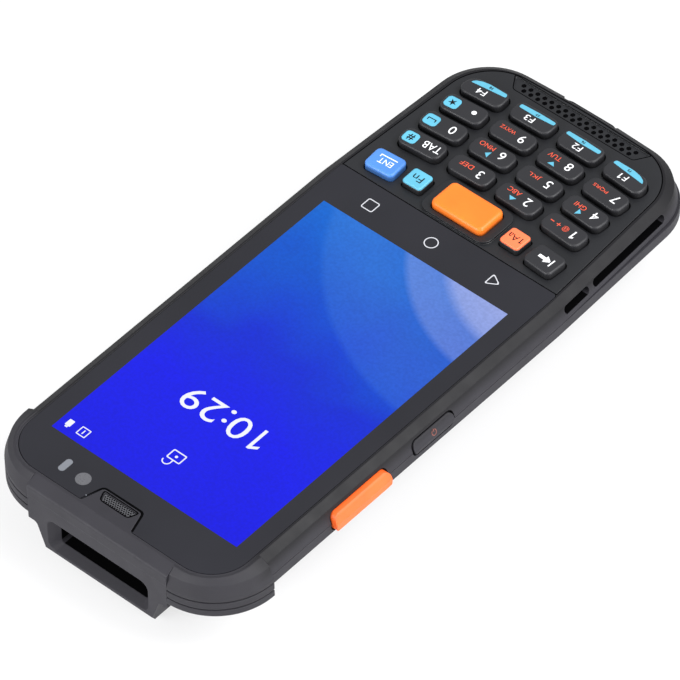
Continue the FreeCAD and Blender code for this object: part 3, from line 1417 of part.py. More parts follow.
def usb_cover():
    """The port's hinged cover: barrel, plate, finger groove and plug."""
    body = new_body("usb_cover")
    side = sideways(body, "side", 0)
    half = flap_thickness / 2
    outline(side, [
        (flap_pin_y - half, flap_pin_height - half, half - fit_gap / 2),
        (flap_pin_y + half, flap_pin_height - half, half - fit_gap / 2),
        (flap_pin_y + half, flap_high, key_edge),
        (flap_pin_y - half, flap_high, key_edge),
    ])
    pad(body, side, flap_half * 2, midway=True)
    plug = box_outline(
        facing(body, "plug", flap_back + flap_plug), -flap_plug_half, flap_plug_half,
        port_height - flap_plug_half_height, port_height + flap_plug_half_height,
        flap_plug_half_height - fit_gap / 2)
    pad(body, plug, flap_plug + flap_thickness / 2)
    grip = box_outline(facing(body, "grip", flap_face + flap_lip), -flap_grip_half,
                       flap_grip_half, flap_high - flap_grip_edge - flap_grip,
                       flap_high - flap_grip_edge, key_edge)
    pocket(body, grip, flap_thickness, forwards=True)
    taper = level(body, "taper", 0)
    start = flap_half - flap_taper
    end = flap_half + fit_gap
    out = flap_face - fit_gap
    outline(taper, [(start, out), (end, out), (end, flap_face + flap_taper_depth)])
    outline(taper, [(-end, flap_face + flap_taper_depth), (-end, out), (-start, out)])
    pocket(body, taper, glass_top, forwards=True)


# Screws and small inner parts

def housing_screws():
    """The four screws that hold the housings together, from below."""
    parts = []
    for count, (x, y) in enumerate(screw_places(), 1):
        head = document.addObject("Part::Cylinder", f"screw_head_{count}")
        shank = document.addObject("Part::Cylinder", f"screw_shank_{count}")
        driver = document.addObject("Part::Prism", f"screw_driver_{count}")
        driver.Polygon = 6
        for item, radius_name, radius, tall, low in (
                (head, "Radius", screw_head_radius, screw_head, screw_seat - screw_head),
                (shank, "Radius", screw_radius, seam_height + screw_reach - screw_seat,
                 screw_seat),
                (driver, "Circumradius", driver_radius, driver_depth,
                 screw_seat - screw_head)):
            bind(item, radius_name, radius)
            bind(item, "Height", tall)
            bind(item, "Placement.Base.x", x)
            bind(item, "Placement.Base.y", y)
            bind(item, "Placement.Base.z", low)
        whole = document.addObject("Part::Fuse", f"screw_blank_{count}")
        whole.Base = head
        whole.Tool = shank
        screw = document.addObject("Part::Cut", f"screw_{count}")
        screw.Base = whole
        screw.Tool = driver
        parts.append(screw)
    group = document.addObject("Part::Compound", "housing_screws")
    group.Links = parts
    nodes.append(group)


def vibration_motor():
    body = new_body("vibration_motor")
    sketch = round_outline(level(body, "plan", main_height + main_thickness), motor_x, motor_y,
                           motor_radius)
    pad(body, sketch, motor_height)



def build():
    front_housing()
    rear_housing()
    bumper("bumper_left", -1)
    bumper("bumper_right", 1)
    front_glass()
    display_module()
    display_tray()
    front_camera()
    sensor_light_guide()
    earpiece_mesh()
    earpiece_receiver()
    keypad_panel()
    for row in key_table():
        key(*row)
    keypad_board()
    dome_sheet()
    speaker()
    scan_window()
    scan_engine()
    side_button("scan_button", -1, trigger_y, trigger_length, trigger_low, trigger_high,
                trigger_rise, trigger_radius, fit_gap)
    for label, hand, slack in (("power_button", -1, fit_gap), ("volume_rocker", 1, rocker_slack)):
        side_button(label, hand, power_y, power_length, power_low, power_high, power_rise,
                    power_radius, slack)
    side_switches()
    main_board()
    shield_can("radio_shield", shield_radio_y, shield_half_width, shield_half_length)
    shield_can("processor_shield", shield_processor_y, shield_half_width, shield_half_length)
    battery_pack()
    battery_cover()
    battery_latch()
    rear_camera()
    rear_camera_window()
    rear_lamp()
    usb_port()
    usb_cover()
    housing_screws()
    vibration_motor()
    document.recompute()


def check():
    """Stops on any failed object, empty sub-part or cut that removed nothing."""
    for item in document.Objects:
        if {"Invalid", "Error"} & set(item.State):
            raise ValueError(f"{item.Label} failed: {item.State}")
        if item.TypeId == "PartDesign::Pocket":
            if item.BaseFeature.Shape.Volume - item.Shape.Volume < 1e-6:
                raise ValueError(f"{item.Label} cuts nothing")
    for item in nodes:
        if item.Shape.isNull() or not item.Shape.isValid():
            raise ValueError(f"{item.Label} has no valid shape")


build()
check()
os.makedirs("parts", exist_ok=True)
for item in nodes:
    item.Shape.exportStep(f"parts/{item.Label}.step")
print(len(nodes), "nodes")
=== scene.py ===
"""Dress of the portable barcode data terminal: finishes of every sub-part, rounded key caps,
legends, the lit display, perforations and lines round the parts in painted shade, and the studio."""

import json
import math

import bpy
from mathutils import Matrix, Vector
from mathutils.geometry import convex_hull_2d


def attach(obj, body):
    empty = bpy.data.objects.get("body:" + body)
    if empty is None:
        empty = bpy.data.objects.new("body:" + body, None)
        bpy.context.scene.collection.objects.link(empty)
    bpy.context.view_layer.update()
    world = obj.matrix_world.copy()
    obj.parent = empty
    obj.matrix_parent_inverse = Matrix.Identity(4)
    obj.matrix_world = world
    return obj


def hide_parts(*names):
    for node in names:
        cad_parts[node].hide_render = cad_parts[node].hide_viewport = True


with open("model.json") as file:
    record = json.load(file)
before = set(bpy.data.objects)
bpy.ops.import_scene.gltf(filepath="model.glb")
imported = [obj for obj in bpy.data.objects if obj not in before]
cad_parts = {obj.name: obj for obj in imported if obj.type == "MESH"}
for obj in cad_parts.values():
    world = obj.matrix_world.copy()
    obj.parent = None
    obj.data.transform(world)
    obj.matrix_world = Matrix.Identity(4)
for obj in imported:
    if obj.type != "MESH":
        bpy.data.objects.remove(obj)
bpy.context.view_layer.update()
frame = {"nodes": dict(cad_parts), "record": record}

NODES = frame["nodes"]
MM = 0.001

# Places in millimetres: x to the right side, y to the scan end, z up from the back
GLASS = 22.6
KEY_TOP = 24.35
SCAN_TOP = 25.0
EAR_MESH = 22.31
SPEAKER_FACE = GLASS - 0.3
REAR_FACE = 0.3
DISPLAY_HALF = 26.15
DISPLAY_LOW = -20.55
DISPLAY_HIGH = 66.55

# How thick a print is, and about how far it stands off what it lies on
SKIN = 0.012


# Colours, written as eight-bit screen values

def tone(red, green, blue):
    """A linear colour from screen values."""
    def linear(value):
        value = value / 255
        return value / 12.92 if value <= 0.04045 else ((value + 0.055) / 1.055) ** 2.4
    return (linear(red), linear(green), linear(blue), 1.0)


BLACK = tone(24, 24, 26)
WHITE = tone(240, 241, 243)
CORAL = tone(255, 118, 74)
ORANGE = tone(252, 122, 32)
CYAN = tone(88, 168, 194)
RED = tone(226, 84, 56)


# Materials

class Shader:
    """A material being drawn up: its node tree and its main shader."""

    def __init__(self, name, colour, rough, metal=0.0, specular=0.5):
        self.material = bpy.data.materials.new(name)
        self.material.use_nodes = True
        self.tree = self.material.node_tree
        self.main = self.tree.nodes["Principled BSDF"]
        self.set("Base Color", colour)
        self.set("Roughness", rough)
        self.set("Metallic", metal)
        self.set("Specular IOR Level", specular)
        self.colour = colour
        self.rough = rough
        coordinates = self.add("ShaderNodeTexCoord")
        self.place = coordinates.outputs["Object"]

    def set(self, name, value):
        self.main.inputs[name].default_value = value

    def add(self, kind, **values):
        node = self.tree.nodes.new(kind)
        for name, value in values.items():
            setattr(node, name, value)
        return node

    def link(self, source, target):
        self.tree.links.new(source, target)

    def noise(self, size, detail=3.0, where=None):
        """A noise whose blotches are about this many millimetres across."""
        node = self.add("ShaderNodeTexNoise")
        node.inputs["Scale"].default_value = 1 / (size * MM)
        node.inputs["Detail"].default_value = detail
        self.link(where or self.place, node.inputs["Vector"])
        return node.outputs["Fac"]

    def ramp(self, factor, stops):
        node = self.add("ShaderNodeValToRGB")
        ramp = node.color_ramp
        ramp.elements[0].position, ramp.elements[0].color = stops[0]
        ramp.elements[1].position, ramp.elements[1].color = stops[-1]
        for position, colour in stops[1:-1]:
            ramp.elements.new(position).color = colour
        self.link(factor, node.inputs["Fac"])
        return node.outputs["Color"]

    def scaled(self, factor, low, high, from_low=0.3, from_high=0.7):
        node = self.add("ShaderNodeMapRange")
        self.link(factor, node.inputs["Value"])
        for name, value in (("From Min", from_low), ("From Max", from_high),
                            ("To Min", low), ("To Max", high)):
            node.inputs[name].default_value = value
        return node.outputs["Result"]

    def axes(self):
        """The place's three coordinates."""
        parts = self.add("ShaderNodeSeparateXYZ")
        self.link(self.place, parts.inputs["Vector"])
        return parts.outputs

    def times(self, colour, share):
        """A colour multiplied by a share."""
        scale = self.add("ShaderNodeVectorMath", operation="SCALE")
        self.link(colour, scale.inputs["Vector"])
        self.link(share, scale.inputs["Scale"])
        return scale.outputs["Vector"]

    def base_colour(self):
        """What feeds the colour so far."""
        return self.main.inputs["Base Color"].links[0].from_socket

    def mottle(self, size, spread):
        """Lets the colour wander a little over the surface."""
        dark = tuple(part * (1 - spread) for part in self.colour[:3]) + (1.0,)
        light = tuple(min(part * (1 + spread), 1.0) for part in self.colour[:3]) + (1.0,)
        self.link(self.ramp(self.noise(size), [(0.3, dark), (0.7, light)]),
                  self.main.inputs["Base Color"])
        self.link(self.scaled(self.noise(size * 0.6), self.rough - 0.05, self.rough + 0.05),
                  self.main.inputs["Roughness"])

    def relief(self, size, depth, soften=0.0):
        """A fine moulded texture, with the solid's own edges rounded off."""
        bump = self.add("ShaderNodeBump")
        bump.inputs["Strength"].default_value = 1.0
        bump.inputs["Distance"].default_value = depth * MM
        self.link(self.noise(size, 2.0), bump.inputs["Height"])
        if soften:
            bevel = self.add("ShaderNodeBevel", samples=6)
            bevel.inputs["Radius"].default_value = soften * MM
            self.link(bevel.outputs["Normal"], bump.inputs["Normal"])
        self.link(bump.outputs["Normal"], self.main.inputs["Normal"])

    def paint_shade(self, low, high, darkest, scan_end=None):
        """Paints shade into the colour: darkens it gradually from one height in millimetres to
        another. Where a place towards the scan end is given, this painted shade fades out over
        the 8 mm before it."""
        place = self.axes()
        share = self.scaled(place["Z"], 1.0, darkest, low * MM, high * MM)
        if scan_end:
            spare = self.scaled(place["Y"], 0.0, 1.0, (scan_end - 8) * MM, scan_end * MM)
            more = self.add("ShaderNodeMath", operation="MAXIMUM")
            self.link(share, more.inputs[0])
            self.link(spare, more.inputs[1])
            share = more.outputs["Value"]
        self.link(self.times(self.base_colour(), share), self.main.inputs["Base Color"])

    def worn(self, amount):
        """Edges rubbed a little lighter."""
        bevel = self.add("ShaderNodeBevel", samples=4)
        bevel.inputs["Radius"].default_value = 0.45 * MM
        geometry = self.add("ShaderNodeNewGeometry")
        turn = self.add("ShaderNodeVectorMath", operation="DOT_PRODUCT")
        self.link(bevel.outputs["Normal"], turn.inputs[0])
        self.link(geometry.outputs["Normal"], turn.inputs[1])
        edge = self.scaled(turn.outputs["Value"], amount, 0.0, 0.80, 0.99)
        mix = self.add("ShaderNodeMix", data_type="RGBA")
        self.link(edge, mix.inputs["Factor"])
        self.link(self.base_colour(), mix.inputs["A"])
        mix.inputs["B"].default_value = tuple(
            min(part * 3.0 + 0.03, 1.0) for part in self.colour[:3]) + (1.0,)
        self.link(mix.outputs["Result"], self.main.inputs["Base Color"])


def moulded(name, colour, rough, grain=0.22, depth=0.02, soften=0.25, wear=0.0,
            shade=None, specular=0.5):
    """Moulded plastic: its grain and depth in millimetres, how worn its edges are, and any
    painted shade.
    """
    shader = Shader(name, colour, rough, specular=specular)
    shader.mottle(9.0, 0.08)
    shader.relief(grain, depth, soften)
    # Painted shade, where one is given
    if shade:
        shader.paint_shade(*shade)
    if wear:
        shader.worn(wear)
    return shader.material


def metal(name, colour, rough):
    shader = Shader(name, colour, rough, metal=1.0)
    shader.mottle(6.0, 0.06)
    shader.relief(0.5, 0.01, 0.1)
    return shader.material


def printed(name, colour, rough=0.5, specular=0.5):
    """Ink: an even colour with the faint unevenness of a print."""
    shader = Shader(name, colour, rough, specular=specular)
    shader.mottle(0.9, 0.05)
    return shader.material


def polished(name, colour, specular):
    """Smooth glass, a little uneven in its shine."""
    shader = Shader(name, colour, 0.07, specular=specular)
    shader.link(shader.scaled(shader.noise(14.0), 0.05, 0.10), shader.main.inputs["Roughness"])
    tint = tuple(part * 1.3 for part in colour[:3]) + (1.0,)
    shader.link(shader.ramp(shader.noise(30.0), [(0.3, colour), (0.7, tint)]),
                shader.main.inputs["Base Color"])
    return shader.material


def lit_picture(name):
    """The display's picture: blues that deepen upwards, crossed by wide soft arcs of paler
    blue and lilac about a point past the lower left corner."""
    shader = Shader(name, (0.0, 0.0, 0.0, 1.0), 0.06, specular=0.3)
    height = shader.scaled(shader.axes()["Y"], 0.0, 1.0, -20.5 * MM, 66.5 * MM)
    wave = shader.scaled(shader.noise(26.0, 2.0), -0.07, 0.07)
    lift = shader.add("ShaderNodeMath", operation="ADD")
    shader.link(height, lift.inputs[0])
    shader.link(wave, lift.inputs[1])
    base = shader.ramp(lift.outputs["Value"], [
        (0.0, tone(4, 108, 214)), (0.22, tone(0, 86, 208)), (0.48, tone(4, 42, 216)),
        (0.74, tone(10, 20, 238)), (1.0, tone(8, 14, 232))])
    centre = shader.add("ShaderNodeVectorMath", operation="DISTANCE")
    shader.link(shader.place, centre.inputs[0])
    centre.inputs[1].default_value = (-34 * MM, -46 * MM, GLASS * MM)
    reach = shader.scaled(centre.outputs["Value"], 0.0, 1.0, 0.0, 110 * MM)
    arcs = shader.ramp(reach, [(share, (strength, strength, strength, 1)) for share, strength in (
        (0.0, 0.75), (0.31, 0.62), (0.335, 0.22), (0.395, 0.30), (0.41, 0.05), (0.56, 0.13),
        (0.575, 0.0), (1.0, 0.0))])
    pale = shader.ramp(reach, [(0.0, tone(214, 206, 232)), (0.34, tone(172, 186, 240)),
                               (0.6, tone(60, 150, 246))])
    grain = shader.scaled(shader.noise(0.7, 1.0), 0.93, 1.07)
    mix = shader.add("ShaderNodeMix", data_type="RGBA")
    shader.link(arcs, mix.inputs["Factor"])
    shader.link(base, mix.inputs["A"])
    shader.link(pale, mix.inputs["B"])
    shader.link(shader.times(mix.outputs["Result"], grain), shader.main.inputs["Emission Color"])
    shader.set("Emission Strength", 0.96)
    return shader.material


def glowing(name, colour):
    """A lit mark on the display."""
    shader = Shader(name, (0.0, 0.0, 0.0, 1.0), 0.2)
    light = tuple(part * 0.96 for part in colour[:3]) + (1.0,)
    shader.link(shader.ramp(shader.noise(0.8), [(0.2, light), (0.8, colour)]),
                shader.main.inputs["Emission Color"])
    shader.set("Emission Strength", 1.0)
    return shader.material


# Painted shade on the rim and on the keys' sides: its two heights and the share of the colour
# left, and for the rim the place towards the scan end where it stops
RIM_PAINTED_SHADE = (19.0, 21.0, 0.3, 70)
KEY_SIDES_PAINTED_SHADE = (24.0, 23.2, 0.4)

FINISH = {
    # The housing's and the bumper's rim and the keys' sides get painted shade
    "housing": moulded("housing", tone(44, 43, 48), 0.55, wear=0.14, shade=RIM_PAINTED_SHADE,
                       specular=0.25),
    "panel": moulded("panel", tone(22, 23, 27), 0.44, grain=0.18, depth=0.012),
    "key": moulded("key", tone(30, 30, 34), 0.5, grain=0.12, depth=0.006, shade=KEY_SIDES_PAINTED_SHADE),
    "orange": moulded("orange", ORANGE, 0.42, grain=0.15, depth=0.006, shade=KEY_SIDES_PAINTED_SHADE),
    "trigger": moulded("trigger", tone(240, 98, 34), 0.42, grain=0.15, depth=0.006),
    "coral": moulded("coral", CORAL, 0.42, grain=0.15, depth=0.006, shade=KEY_SIDES_PAINTED_SHADE),
    "cyan": moulded("cyan", tone(92, 176, 204), 0.42, grain=0.15, depth=0.006, shade=KEY_SIDES_PAINTED_SHADE),
    "blue": moulded("blue", tone(72, 128, 206), 0.42, grain=0.15, depth=0.006, shade=KEY_SIDES_PAINTED_SHADE),
    "bumper": moulded("bumper", tone(40, 39, 44), 0.60, grain=0.3, depth=0.03, soften=0.35,
                      wear=0.12, shade=RIM_PAINTED_SHADE, specular=0.3),
    "glass": polished("glass", tone(31, 31, 36), 0.3),
    "window": polished("window", tone(8, 8, 10), 0.6),
    "tray": metal("tray", tone(190, 190, 194), 0.35),
    "steel": metal("steel", tone(150, 150, 154), 0.30),
    "module": moulded("module", tone(28, 28, 30), 0.5),
    "light_guide": moulded("light_guide", tone(112, 115, 122), 0.25, depth=0.004),
    "mesh": moulded("mesh", tone(74, 74, 78), 0.38, grain=0.2, depth=0.01),
    "board": moulded("board", tone(18, 88, 48), 0.35, grain=1.2, depth=0.02),
    "domes": metal("domes", tone(206, 206, 210), 0.28),
    "battery": moulded("battery", tone(70, 72, 78), 0.5),
    "lamp": moulded("lamp", tone(226, 224, 206), 0.18, depth=0.004),
    "lens": polished("lens", tone(14, 14, 20), 0.7),
    "white_print": printed("white_print", WHITE),
    "dark_print": printed("dark_print", BLACK, 0.7, 0.1),
    "red_print": printed("red_print", RED),
    "cyan_print": printed("cyan_print", CYAN),
    "grey_print": printed("grey_print", tone(88, 88, 92), 0.3),
    "dim_print": printed("dim_print", tone(132, 74, 64), 0.5),
    # Black without shine: painted shade in holes, gaps, grooves and recesses
    "hole": printed("hole", tone(8, 8, 9), 0.9, 0.0),
    "picture": lit_picture("picture"),
    "glow": glowing("glow", tone(246, 248, 255)),
}

SPECIAL = {
    "key_scan": "orange", "key_shift": "coral", "key_function": "cyan", "key_enter": "blue",
    "scan_button": "trigger", "power_button": "housing",
    "volume_rocker": "housing", "rear_camera_window": "lens", "front_camera": "module",
    "rear_lamp": "lamp",
}


def finish_of(name, wanted):
    if name in SPECIAL:
        return FINISH[SPECIAL[name]]
    return FINISH.get(wanted, FINISH["module"])


slots = {part["node"]: part["material_slot"] for part in frame["record"]["subparts"]}
for name, item in NODES.items():
    item.data.materials.clear()
    item.data.materials.append(finish_of(name, slots.get(name, "module")))


# Pieces

def piece(name, corners, faces, finish, body, smooth=False):
    """A mesh given in millimetres, with its finish, on a body."""
    mesh = bpy.data.meshes.new(name)
    mesh.from_pydata([tuple(value * MM for value in corner) for corner in corners], [], faces)
    mesh.validate()
    mesh.materials.append(FINISH[finish])
    item = bpy.data.objects.new(name, mesh)
    bpy.context.collection.objects.link(item)
    for face in mesh.polygons:
        face.use_smooth = smooth
    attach(item, body)
    return item


def turned(points, x, y, angle):
    """Plan points turned by degrees about the origin and moved to x, y."""
    cos = math.cos(math.radians(angle))
    sin = math.sin(math.radians(angle))
    return [(x + a * cos - b * sin, y + a * sin + b * cos) for a, b in points]


def rounded(half_x, half_y, radii, steps=8):
    """A box's plan outline, anticlockwise from the lower left, one radius per corner."""
    corners = ((-half_x, -half_y, 180), (half_x, -half_y, 270), (half_x, half_y, 0),
               (-half_x, half_y, 90))
    points = []
    for (x, y, start), radius in zip(corners, radii):
        centre_x = x - math.copysign(radius, x)
        centre_y = y - math.copysign(radius, y)
        for step in range(steps + 1):
            angle = math.radians(start + 90 * step / steps)
            points.append((centre_x + radius * math.cos(angle),
                           centre_y + radius * math.sin(angle)))
    return points


def soft(points, radius, steps=4):
    """A closed outline with its corners rounded off."""
    result = []
    for i, corner in enumerate(points):
        ends = []
        for other in (points[i - 1], points[(i + 1) % len(points)]):
            run = math.dist(corner, other)
            share = min(radius, run / 2) / run
            ends.append([corner[k] + (other[k] - corner[k]) * share for k in (0, 1)])
        for step in range(steps + 1):
            part = step / steps
            result.append(tuple((1 - part) ** 2 * ends[0][k] + 2 * part * (1 - part) * corner[k]
                                + part ** 2 * ends[1][k] for k in (0, 1)))
    return result


def plate(name, points, low, high, finish, body):
    """A flat plate from a plan outline."""
    count = len(points)
    corners = [(x, y, low) for x, y in points] + [(x, y, high) for x, y in points]
    faces = [tuple(range(count))[::-1], tuple(range(count, 2 * count))]
    faces += [(i, (i + 1) % count, count + (i + 1) % count, count + i) for i in range(count)]
    return piece(name, corners, faces, finish, body)


def ring(name, outer, inner, low, high, finish, body):
    """A flat line drawn between two outlines with as many points."""
    count = len(outer)
    corners = [(x, y, high) for x, y in outer] + [(x, y, high) for x, y in inner]
    corners += [(x, y, low) for x, y in outer] + [(x, y, low) for x, y in inner]
    faces = []
    for i in range(count):
        j = (i + 1) % count
        faces.append((i, j, count + j, count + i))
        faces.append((2 * count + i, 2 * count + j, j, i))
        faces.append((count + i, count + j, 3 * count + j, 3 * count + i))
        faces.append((3 * count + i, 3 * count + j, 2 * count + j, 2 * count + i))
    return piece(name, corners, faces, finish, body)


def circle(radius, sides=40):
    angles = [2 * math.pi * i / sides for i in range(sides)]
    return [(radius * math.cos(angle), radius * math.sin(angle)) for angle in angles]


def moved(points, x, y):
    return [(a + x, b + y) for a, b in points]


def lettering(name, text, x, y, height, finish, body, turn=0.0, top=KEY_TOP, width=None,
              weight=0.0):
    """Printed letters whose middle is at x, y, as tall as height, turned by degrees."""
    curve = bpy.data.curves.new(f"{name}_line", "FONT")
    curve.body = text
    curve.size = 1.0
    curve.offset = weight
    curve.resolution_u = 4
    source = bpy.data.objects.new(f"{name}_line", curve)
    bpy.context.collection.objects.link(source)
    bpy.context.view_layer.update()
    mesh = bpy.data.meshes.new_from_object(source)
    bpy.data.objects.remove(source)
    xs = [corner.co.x for corner in mesh.vertices]
    ys = [corner.co.y for corner in mesh.vertices]
    tall = height / (max(ys) - min(ys))
    wide = width / (max(xs) - min(xs)) if width else tall
    shift = Vector(((max(xs) + min(xs)) / 2, (max(ys) + min(ys)) / 2, 0))
    mesh.transform(Matrix.Translation(-shift))
    mesh.transform(Matrix.Diagonal((wide * MM, tall * MM, 1, 1)))
    mesh.transform(Matrix.Rotation(math.radians(turn), 4, "Z"))
    mesh.transform(Matrix.Translation(Vector((x, y, top + SKIN)) * MM))
    mesh.name = name
    mesh.materials.clear()
    mesh.materials.append(FINISH[finish])
    item = bpy.data.objects.new(name, mesh)
    bpy.context.collection.objects.link(item)
    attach(item, body)
    return item


def one(height, stroke):
    """The figure 1 about its own middle: an upright with a flag at its head."""
    half = height / 2
    edge = 0.14 * height
    tip = edge - 0.36 * height
    return [(edge - stroke, -half), (edge, -half), (edge, half), (edge - 0.75 * stroke, half),
            (tip, half - 0.17 * height), (tip, half - 0.17 * height - stroke * 1.1),
            (edge - stroke, half - 0.02 * height - stroke * 1.1)]


def shape(name, points, x, y, turn, finish, body, top=KEY_TOP, thick=SKIN):
    """A printed shape: plan points about its own middle."""
    return plate(name, turned(points, x, y, turn), top + SKIN / 2, top + SKIN / 2 + thick,
                 finish, body)


# Key caps

# The grid of keys: the two middle columns lie a little nearer the foot and are turned less
COLUMN_PITCH = 13.45
ROW_PITCH = 7
FIRST_ROW = -46.6
INNER_SHIFT = 0.7
INNER_TURN = 1.3
OUTER_TURN = 4.0
KEY_HALF_X = 5.6
KEY_HALF_Y = 2.675
KEY_RADIUS = 1.9
END_RADIUS = 3.2
CAP_FOOT = GLASS - 1.9
CAP_EDGE = {"key_scan": 0.9, "key_enter": 0.6}


def key_places():
    """Every key: name, x, y, half width, half depth, corner radii, top and turn."""
    places = [
        ("key_back", -22.7, -37.0, 3.95, 3.1, (1.3,) * 4, KEY_TOP, -OUTER_TURN),
        ("key_enter", 22.7, -37.0, 3.95, 3.1, (1.3,) * 4, KEY_TOP, OUTER_TURN),
        ("key_shift", -13.9, -37.6, 2.7, 2.6, (0.8,) * 4, KEY_TOP, -INNER_TURN),
        ("key_function", 13.9, -37.6, 2.7, 2.6, (0.8,) * 4, KEY_TOP, INNER_TURN),
        ("key_scan", 0.0, -37.9, 7.3, 4.2, (1.5,) * 4, SCAN_TOP, 0.0),
    ]
    rows = (("1", "2", "3", "tab"), ("4", "5", "6", "0"), ("7", "8", "9", "dot"),
            ("f1", "f2", "f3", "f4"))
    for row, labels in enumerate(rows):
        for column, label in enumerate(labels):
            inner = column in (1, 2)
            hand = -1 if column < 2 else 1
            radii = [KEY_RADIUS] * 4
            if label == "f1":
                radii[0] = END_RADIUS
            if label == "f4":
                radii[1] = END_RADIUS
            places.append((f"key_{label}", COLUMN_PITCH * (column - 1.5),
                           FIRST_ROW - ROW_PITCH * row - INNER_SHIFT * inner,
                           KEY_HALF_X, KEY_HALF_Y, tuple(radii), KEY_TOP,
                           hand * (INNER_TURN if inner else OUTER_TURN)))
    return places


def key_body(name, x, y, half_x, half_y, radii, foot, top, turn, edge, finish, body):
    """A soft-edged block from a height up to a key's top."""
    levels = [(0.0, foot), (0.0, top - edge)]
    for step in range(1, 7):
        angle = math.pi / 2 * step / 6
        levels.append((edge * (1 - math.cos(angle)), top - edge + edge * math.sin(angle)))
    corners = []
    for inset, height in levels:
        outline = rounded(half_x - inset, half_y - inset,
                          [max(radius - inset, 0.3) for radius in radii], 6)
        corners += [(a, b, height) for a, b in turned(outline, x, y, turn)]
    count = len(corners) // len(levels)
    faces = []
    for level in range(len(levels) - 1):
        for i in range(count):
            j = (i + 1) % count
            low = level * count
            faces.append((low + i, low + j, low + count + j, low + count + i))
    faces.append(tuple(range(len(corners) - count, len(corners))))
    item = piece(name, corners, faces, finish, body, smooth=True)
    item.data.polygons[len(item.data.polygons) - 1].use_smooth = False
    return item


def key_cap(name, x, y, half_x, half_y, radii, top, turn):
    """A cap from under the panel upwards; the small coloured ones are faced on black."""
    finish = SPECIAL.get(name, "key")
    if name in ("key_shift", "key_function"):
        item = key_body(f"{name}_cap", x, y, half_x, half_y, radii, CAP_FOOT, top - 0.45, turn,
                        0.3, "key", name)
        key_body(f"{name}_face", x, y, half_x - 0.1, half_y - 0.1, radii, top - 0.6, top, turn,
                 0.35, finish, name)
    else:
        item = key_body(f"{name}_cap", x, y, half_x, half_y, radii, CAP_FOOT, top, turn,
                        CAP_EDGE.get(name, 0.5), finish, name)
    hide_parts(name)


for place in key_places():
    key_cap(*place)


# Legends of the keys

TURN = {place[0]: place[7] for place in key_places()}

# Key, number of the legend, text, x, y, height, finish, and width where it isn't the font's
LEGENDS = (
    ("key_1", 2, "@", -20.4, -46.7, 1.6, "red_print", None),
    ("key_1", 3, "+", -18.4, -46.8, 1.1, "red_print", None),
    ("key_1", 4, "-", -16.6, -46.9, 0.25, "red_print", 1.0),
    ("key_2", 1, "2", -9.0, -47.4, 2.4, "white_print", None),
    ("key_2", 2, "ABC", -4.7, -48.3, 1.3, "red_print", 3.5),
    ("key_3", 1, "3", 4.3, -47.2, 2.4, "white_print", None),
    ("key_3", 2, "DEF", 8.4, -47.7, 1.3, "red_print", 3.4),
    ("key_4", 1, "4", -22.9, -53.6, 2.4, "white_print", None),
    ("key_4", 2, "GHI", -18.5, -54.1, 1.3, "red_print", 3.1),
    ("key_5", 1, "5", -9.0, -54.5, 2.4, "white_print", None),
    ("key_5", 2, "JKL", -5.0, -54.8, 1.3, "red_print", 3.2),
    ("key_6", 1, "6", 4.3, -54.6, 2.4, "white_print", None),
    ("key_6", 2, "MNO", 8.8, -55.1, 1.3, "red_print", 4.0),
    ("key_7", 1, "7", -22.9, -60.5, 2.4, "white_print", None),
    ("key_7", 2, "PQRS", -18.3, -61.2, 1.05, "red_print", 4.1),
    ("key_8", 1, "8", -9.0, -61.5, 2.4, "white_print", None),
    ("key_8", 2, "TUV", -4.6, -62.1, 1.3, "red_print", 3.4),
    ("key_9", 1, "9", 4.3, -61.4, 2.4, "white_print", None),
    ("key_9", 2, "WXYZ", 8.6, -61.9, 1.05, "red_print", 4.1),
    ("key_tab", 1, "TAB", 17.7, -46.8, 2.1, "white_print", 4.6),
    ("key_0", 1, "0", 17.7, -53.7, 2.4, "white_print", None),
    ("key_f1", 1, "F", -20.5, -66.9, 1.7, "white_print", None),
    ("key_f2", 1, "F2", -6.4, -67.4, 1.7, "white_print", 2.4),
    ("key_f3", 1, "F3", 7.2, -67.4, 1.7, "white_print", 2.4),
    ("key_f4", 1, "F4", 20.6, -66.9, 1.7, "white_print", 2.4),
    ("key_shift", 1, "Aa", -13.3, -37.6, 1.7, "dark_print", 2.8),
    ("key_function", 1, "Fn", 13.9, -37.6, 1.9, "dark_print", 2.7),
    ("key_enter", 1, "ENT", 22.4, -36.7, 1.6, "white_print", 3.7),
)
for key, count, text, x, y, height, finish, width in LEGENDS:
    lettering(f"{key}_legend_{count}", text, x, y, height, finish, key, TURN[key], width=width)

shape("key_1_figure", one(2.4, 0.36), -22.9, -46.3, TURN["key_1"], "white_print", "key_1")
shape("key_f1_figure", one(1.7, 0.27), -19.1, -66.8, TURN["key_f1"], "white_print", "key_f1")
shape("key_shift_figure", one(1.7, 0.26), -15.5, -37.65, TURN["key_shift"], "dark_print",
      "key_shift")

ARROW = [(-0.95, -0.55), (0.95, -0.55), (0.0, 0.55)]
for key, x, y, spin in (("key_2", -5.5, -46.2, 0), ("key_4", -19.4, -52.4, 90),
                        ("key_6", 7.3, -53.1, -90), ("key_8", -5.4, -60.1, 180)):
    shape(f"{key}_arrow", ARROW, x, y, TURN[key] + spin, "cyan_print", key)

shape("key_dot_point", circle(0.6, 24), 17.6, -60.9, 0, "white_print", "key_dot")

